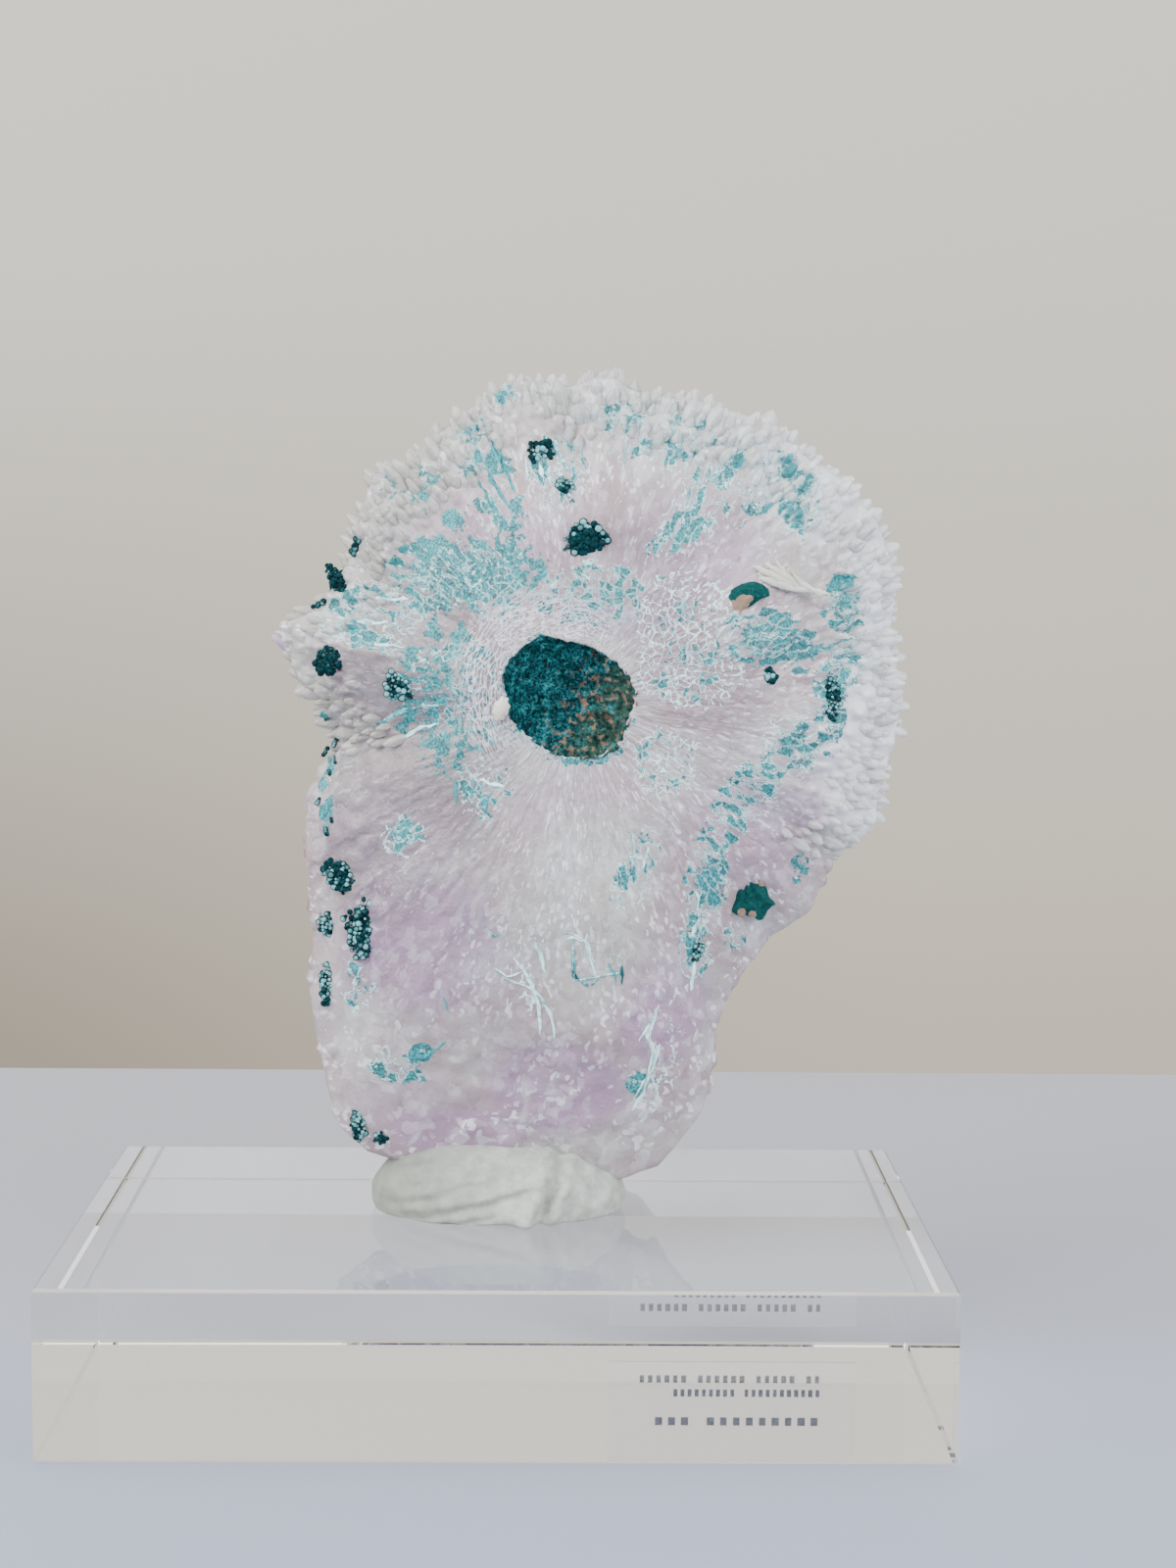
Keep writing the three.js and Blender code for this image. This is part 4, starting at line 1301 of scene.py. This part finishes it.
# The heaps whose painted highlights are in the middle, round the edge, or hardly anywhere.
HIGHLIGHTS_IN_MIDDLE = ("green_lump_top", "green_ring_right")
HIGHLIGHTS_ROUND_EDGE = ("green_lump_above_core",)
DARK = ("green_seam_left_edge", "green_lump_left_outer")


def highlight_share(node, share, seed, i):
    if node in HIGHLIGHTS_IN_MIDDLE:
        return 1.3 if share < 0.55 else 0
    if node in HIGHLIGHTS_ROUND_EDGE:
        return 1.2 * chance(seed, i + 400) if share > 0.7 else 0
    return chance(seed, i + 400) * (0.35 if node in DARK else 1.1)


def make_druse(node, seed):
    middle, axes, halves, deep = long_axes(node)
    # A heap whose solid lies deeper than the quartz is lifted, so that it stands proud.
    anchor = min(middle.y, surface_at(middle.x, middle.z) + 0.3 * deep)
    size = 0.32 + 0.045 * min(halves)
    count = int(min(MOST_BEADS, max(FEWEST_BEADS, 1.6 * halves[0] * halves[1] / size**2)))
    ragged, uneven = (0.1, 0.04) if node in DARK else (0.35, 0.12)
    bm, caps = bmesh.new(), []
    for i in range(count):
        share = math.sqrt((i + 0.5) / count)
        turned = math.radians(i * GOLDEN_ANGLE)
        edge = 0.92 + ragged * ring_noise(turned, 1.3, seed) + spread(seed, i + 200, uneven)
        flat = axes[0] * (halves[0] * math.cos(turned)) + axes[1] * (halves[1] * math.sin(turned))
        at = middle + flat * share * edge
        at.y = anchor - deep * (math.sqrt(max(0, 1 - share**2)) * 0.7 - 0.1) + spread(seed + 50, i, 0.3)
        facings = add_bead(bm, at, Vector((1, 1, 1)) * (size * (1 + spread(seed, i, 0.45))))
        # Painted highlights on the beads' front-facing tops.
        caps += painted_top_highlights(highlight_share(node, share, seed, i), facings)
    reach = [abs(axes[0][k] * halves[0]) + abs(axes[1][k] * halves[1]) for k in (0, 2)]
    caps += painted_top_highlights(0, add_bead(bm, middle, Vector((reach[0] * 0.6, deep * 0.7, reach[1] * 0.6))))
    keep_piece(node + "_beads", bm, druse_finish, "matrix", node, caps=caps)


PLUGS = ("green_core", "green_fan_lower_right", "green_crescent_right")
for druse_seed, druse_node in enumerate(node for node in GREEN if node not in PLUGS):
    make_druse(druse_node, druse_seed)

# %% [markdown]
# Thinner crusts of the same grains run along seams in the quartz, most of all round its left edge.

# %% Seams of grains
GRAIN_STEP = 0.35
# Each seam's points in the front view, and how thick it is, in millimetres.
SEAMS = [
    ([(-22.3, 130), (-22.6, 128), (-23.4, 126.6)], 0.8), ([(-27.5, 119.6), (-29.2, 118.6)], 0.6),
    ([(-27.6, 103), (-27, 101.4)], 0.7), ([(-25.3, 99.9), (-26.2, 97.4)], 0.5),
    ([(-27, 97.3), (-27.8, 96)], 0.45), ([(-26, 96), (-25.8, 94.9)], 0.4),
    ([(-26.8, 93.8), (-26.6, 93.2)], 0.4), ([(-28.3, 89.7), (-28.6, 88.7)], 0.5),
    ([(-26.4, 86.9), (-26.2, 86.3)], 0.45), ([(-27.3, 85.3), (-27.1, 84.2)], 0.5),
]


def make_seams():
    bm, caps = bmesh.new(), []
    for row, (points, thick) in enumerate(SEAMS):
        for (x0, z0), (x1, z1) in zip(points, points[1:]):
            count = max(3, int(math.hypot(x1 - x0, z1 - z0) / GRAIN_STEP))
            for i in range(count):
                way = (i + 0.5) / count
                x, z = x0 + (x1 - x0) * way + spread(row, i, 0.4 * thick), z0 + (z1 - z0) * way
                degrees = math.degrees(math.atan2(z - CORE.z, x - CORE.x))
                share = math.hypot(x - CORE.x, z - CORE.z) / mass_reach(degrees)
                at = Vector((x, front_depth(min(1, share)) - 0.2, z))
                facings = add_bead(bm, at, Vector((1, 1, 1)) * (thick * (0.6 + 0.3 * chance(row, i + 60))))
                # Painted highlights on the front-facing tops of the grains.
                caps += painted_top_highlights(chance(row, i + 90) * 0.6, facings)
    keep_piece("seam_grains", bm, druse_finish, "matrix", caps=caps)


make_seams()

# %% [markdown]
# Mounting putty is soft and takes every touch: drawn streaks on the left, a pinched crease, and a
# rounded end with dimples on the right. Its form is a swollen ball with those strokes pressed into
# it.

# %% Putty


def make_putty_finish(name, low, high, left):
    """Putty from a darker to a lighter tone in smears, with painted shade towards the left."""
    material, tree, shader = new_material(
        name, Roughness=0.62, Subsurface_Weight=0.08, Subsurface_Scale=0.002,
    )
    place = place_in_mm(tree)
    smear = speckle(tree, place, 0.5, detail=6, roughness=0.6)
    colour = blend(tree, ramp(tree, smear, 0.3, 0.7), low, high)
    # Painted shade: darker towards the left.
    colour = blend(tree, ramp(tree, axes_of(tree, place)[0], 4, -16, 0.0, 0.7), colour, left)
    wire(tree, shader, Base_Color=colour, Normal=bump(tree, smear, 0.5, 0.0004))
    return material


def hump(value, middle, half_width):
    """1 at the middle, falling smoothly to 0 on both sides."""
    return math.exp(-(((value - middle) / half_width) ** 2))


putty_finish = make_putty_finish(
    "mounting_putty", (0.26, 0.275, 0.24, 1), (0.38, 0.40, 0.365, 1), (0.13, 0.14, 0.115, 1),
)
scrap_finish = make_putty_finish(
    "putty_scraps", (0.46, 0.44, 0.37, 1), (0.60, 0.58, 0.51, 1), (0.5, 0.48, 0.42, 1),
)
PUTTY = {"middle": Vector((-0.8, 3.6, 27.5)), "half": Vector((19.8, 11.4, 9.8)), "floor": 25.06}


def putty_stroke(x, z):
    """How far the strokes lift or press the surface at a place in the front view, in millimetres."""
    slant = x - 0.35 * (z - 30)
    crease = 1.3 * hump(slant, 5.4, 1.3) - 1.7 * hump(slant, 7.4, 0.8)
    fold = 0.9 * hump(slant, 9.6, 1.0) - 0.8 * hump(slant, 11.6, 0.9)
    streaks = noise.noise(Vector((x * 0.10 + z * 0.05, z * 0.75 - x * 0.18, 2))) * (0.8 if x < 4 else 0.35)
    dimple = -0.9 * hump(x, 14.8, 1.5) * hump(z, 30.4, 1.5)
    strands = 0.4 * math.sin((x - 6 + 0.15 * (z - 30)) * 4.2) * hump(x, 6, 3.2) * max(0, (z - 28) / 7)
    return crease + fold + streaks + dimple + strands


def make_putty():
    bm = bmesh.new()
    bmesh.ops.create_icosphere(bm, subdivisions=6, radius=1)
    middle, half = PUTTY["middle"], PUTTY["half"]
    for vert in bm.verts:
        n = vert.co.copy()
        square = 1 + 0.1 * abs(n.x) * (1 - abs(n.x))
        at = Vector((n.x * half.x, n.y * half.y * square, n.z * half.z * square)) + middle
        push = putty_stroke(at.x, at.z) * (0.5 - 0.5 * n.y) + noise.noise(at * 0.45) * 0.5
        skirt = 0.8 * hump(at.x, 3.5, 3.0) * max(0, 1 - abs(at.z - 25.5) / 2.5) * (n.y < 0)
        at += Vector((n.x * 0.4, n.y, n.z * 0.5)) * push + Vector((0, -1.6, 0)) * skirt
        at.z = max(at.z, PUTTY["floor"])
        vert.co = at
    keep_piece("putty_pressed", bm, putty_finish, "putty", "putty_lump")


# Where each of the smear's strokes starts in the front view. All bend and end near the same two places.
SMEAR_STARTS = [
    (36.8, 125.5), (37.0, 124.5), (38.4, 126.0), (40.0, 126.3), (41.8, 126.2), (43.3, 124.9),
    (37.6, 123.8),
]
SMEAR_TIP, SMEAR_BEND = (48.2, 121.3), (43.2, 122.6)


def add_stroke(bm, start, bend, tip, depth, wide):
    """One stroke of a fingertip: a ball drawn out along a bent line, wide at first and thin at its end."""
    for vert in bmesh.ops.create_icosphere(bm, subdivisions=4, radius=1)["verts"]:
        n = vert.co.copy()
        t = (n.x + 1) / 2
        x, z = ((1 - t) ** 2 * a + 2 * t * (1 - t) * b + t**2 * c for a, b, c in zip(start, bend, tip))
        thick = wide * (1 - 0.65 * t)
        rough = 1 + 0.5 * noise.noise(Vector((x, z, n.y)) * 1.3)
        y = depth + n.y * thick * 0.55 * rough + 0.4 * math.hypot(n.y, n.z) * t
        vert.co = Vector((x - n.z * thick * 0.3, y, z + n.z * thick * rough))


def make_smear():
    bm = bmesh.new()
    for i, start in enumerate(SMEAR_STARTS):
        tip = (SMEAR_TIP[0] - 0.5 * (i % 3), SMEAR_TIP[1] + spread(i, 70, 0.4))
        bend = (SMEAR_BEND[0], SMEAR_BEND[1] + spread(i, 71, 0.7))
        add_stroke(bm, start, bend, tip, -8.9 + 0.35 * (i % 2), 1.1 + spread(i, 72, 0.25))
    keep_piece("putty_smear_pressed", bm, scrap_finish, "putty", "putty_smear")


def make_dab():
    """A flattened dab, ragged round its edge."""
    low, high = (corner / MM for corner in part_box("putty_dab"))
    middle, half = (low + high) / 2 - Vector((0.8, 0, 0)), (high - low) / 2
    bm = bmesh.new()
    bmesh.ops.create_icosphere(bm, subdivisions=5, radius=1)
    for vert in bm.verts:
        n = vert.co.copy()
        lump = noise.noise(n * 2.3) * 0.3
        x = (n.x + 0.3 * n.z) * half.x * (0.8 + lump)
        vert.co = middle + Vector((x, n.y * half.y * 0.8, n.z * half.z * (1 + lump)))
    keep_piece("putty_dab_pressed", bm, scrap_finish, "putty", "putty_dab")


make_putty()
make_smear()
make_dab()

# %% [markdown]
# The block is clear cast acrylic, and its own solid has the right shape, so it only needs a
# material: plain transmission with acrylic's index of refraction. Real physics then gives the
# doubled edges and the mirrored strip.

# %% Clear acrylic and the caption film


def dress(node, name, ior, haze, colours, roughness):
    """Gives a solid of the frame a clear material, whose tone and roughness follow a faint haze."""
    material, tree, shader = new_material(name, Transmission_Weight=1.0, IOR=ior)
    cloud = speckle(tree, place_in_mm(tree), **haze)
    wire(tree, shader, Base_Color=blend(tree, cloud, *colours), Roughness=ramp(tree, cloud, *roughness))
    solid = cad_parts[node]
    solid.data.materials.clear()
    solid.data.materials.append(material)
    print(node + ":", material.name)
    return solid


block = dress(
    "acrylic_block", "clear_acrylic", 1.49, {"scale": 0.12, "detail": 8, "roughness": 0.7},
    ((0.95, 0.95, 0.94, 1), (0.965, 0.965, 0.955, 1)), (0.55, 0.85, 0.0, 0.06),
)
block.visible_shadow = False  # clear acrylic lets nearly all the light through
dress(
    "caption_film", "clear_film", 1.45, {"scale": 0.3, "detail": 3},
    ((0.93, 0.94, 0.95, 1), (0.96, 0.97, 0.97, 1)), (0.3, 0.7, 0.02, 0.08),
)

# %% [markdown]
# Lettering stays off the part, so plain bars of ink stand where the caption's three lines are.

# %% Ink bars
# Each line's left and right end, middle height, letter height and letter pitch.
INK_LINES = [(20.6, 51.5, 5.9, 1.2, 1.35), (26.7, 51.5, 8.2, 1.2, 1.15), (23.3, 51.5, 12.9, 1.35, 2.1)]
SPACES, INK_THICK = 0.14, 0.03


def make_ink():
    material, tree, shader = new_material("caption_ink", Roughness=0.6)
    wear = speckle(tree, place_in_mm(tree), 3.0, detail=3)
    wire(tree, shader, Base_Color=blend(tree, wear, (0.05, 0.05, 0.07, 1), (0.12, 0.12, 0.15, 1)))
    bm = bmesh.new()
    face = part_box("caption_film")[1].y / MM
    for row, (left, right, middle, high, pitch) in enumerate(INK_LINES):
        for i in range(int((right - left) / pitch)):
            if chance(i, 90 + row) < SPACES:
                continue
            wide = pitch * (0.5 + 0.12 * chance(i, 95 + row))
            made = bmesh.ops.create_cube(bm, size=1)["verts"]
            bmesh.ops.scale(bm, vec=(wide, INK_THICK, high), verts=made)
            bmesh.ops.translate(bm, vec=(right - (i + 0.5) * pitch, face + 0.02, middle), verts=made)
    keep_piece("caption_bars", bm, material, "film", smooth=False)


make_ink()
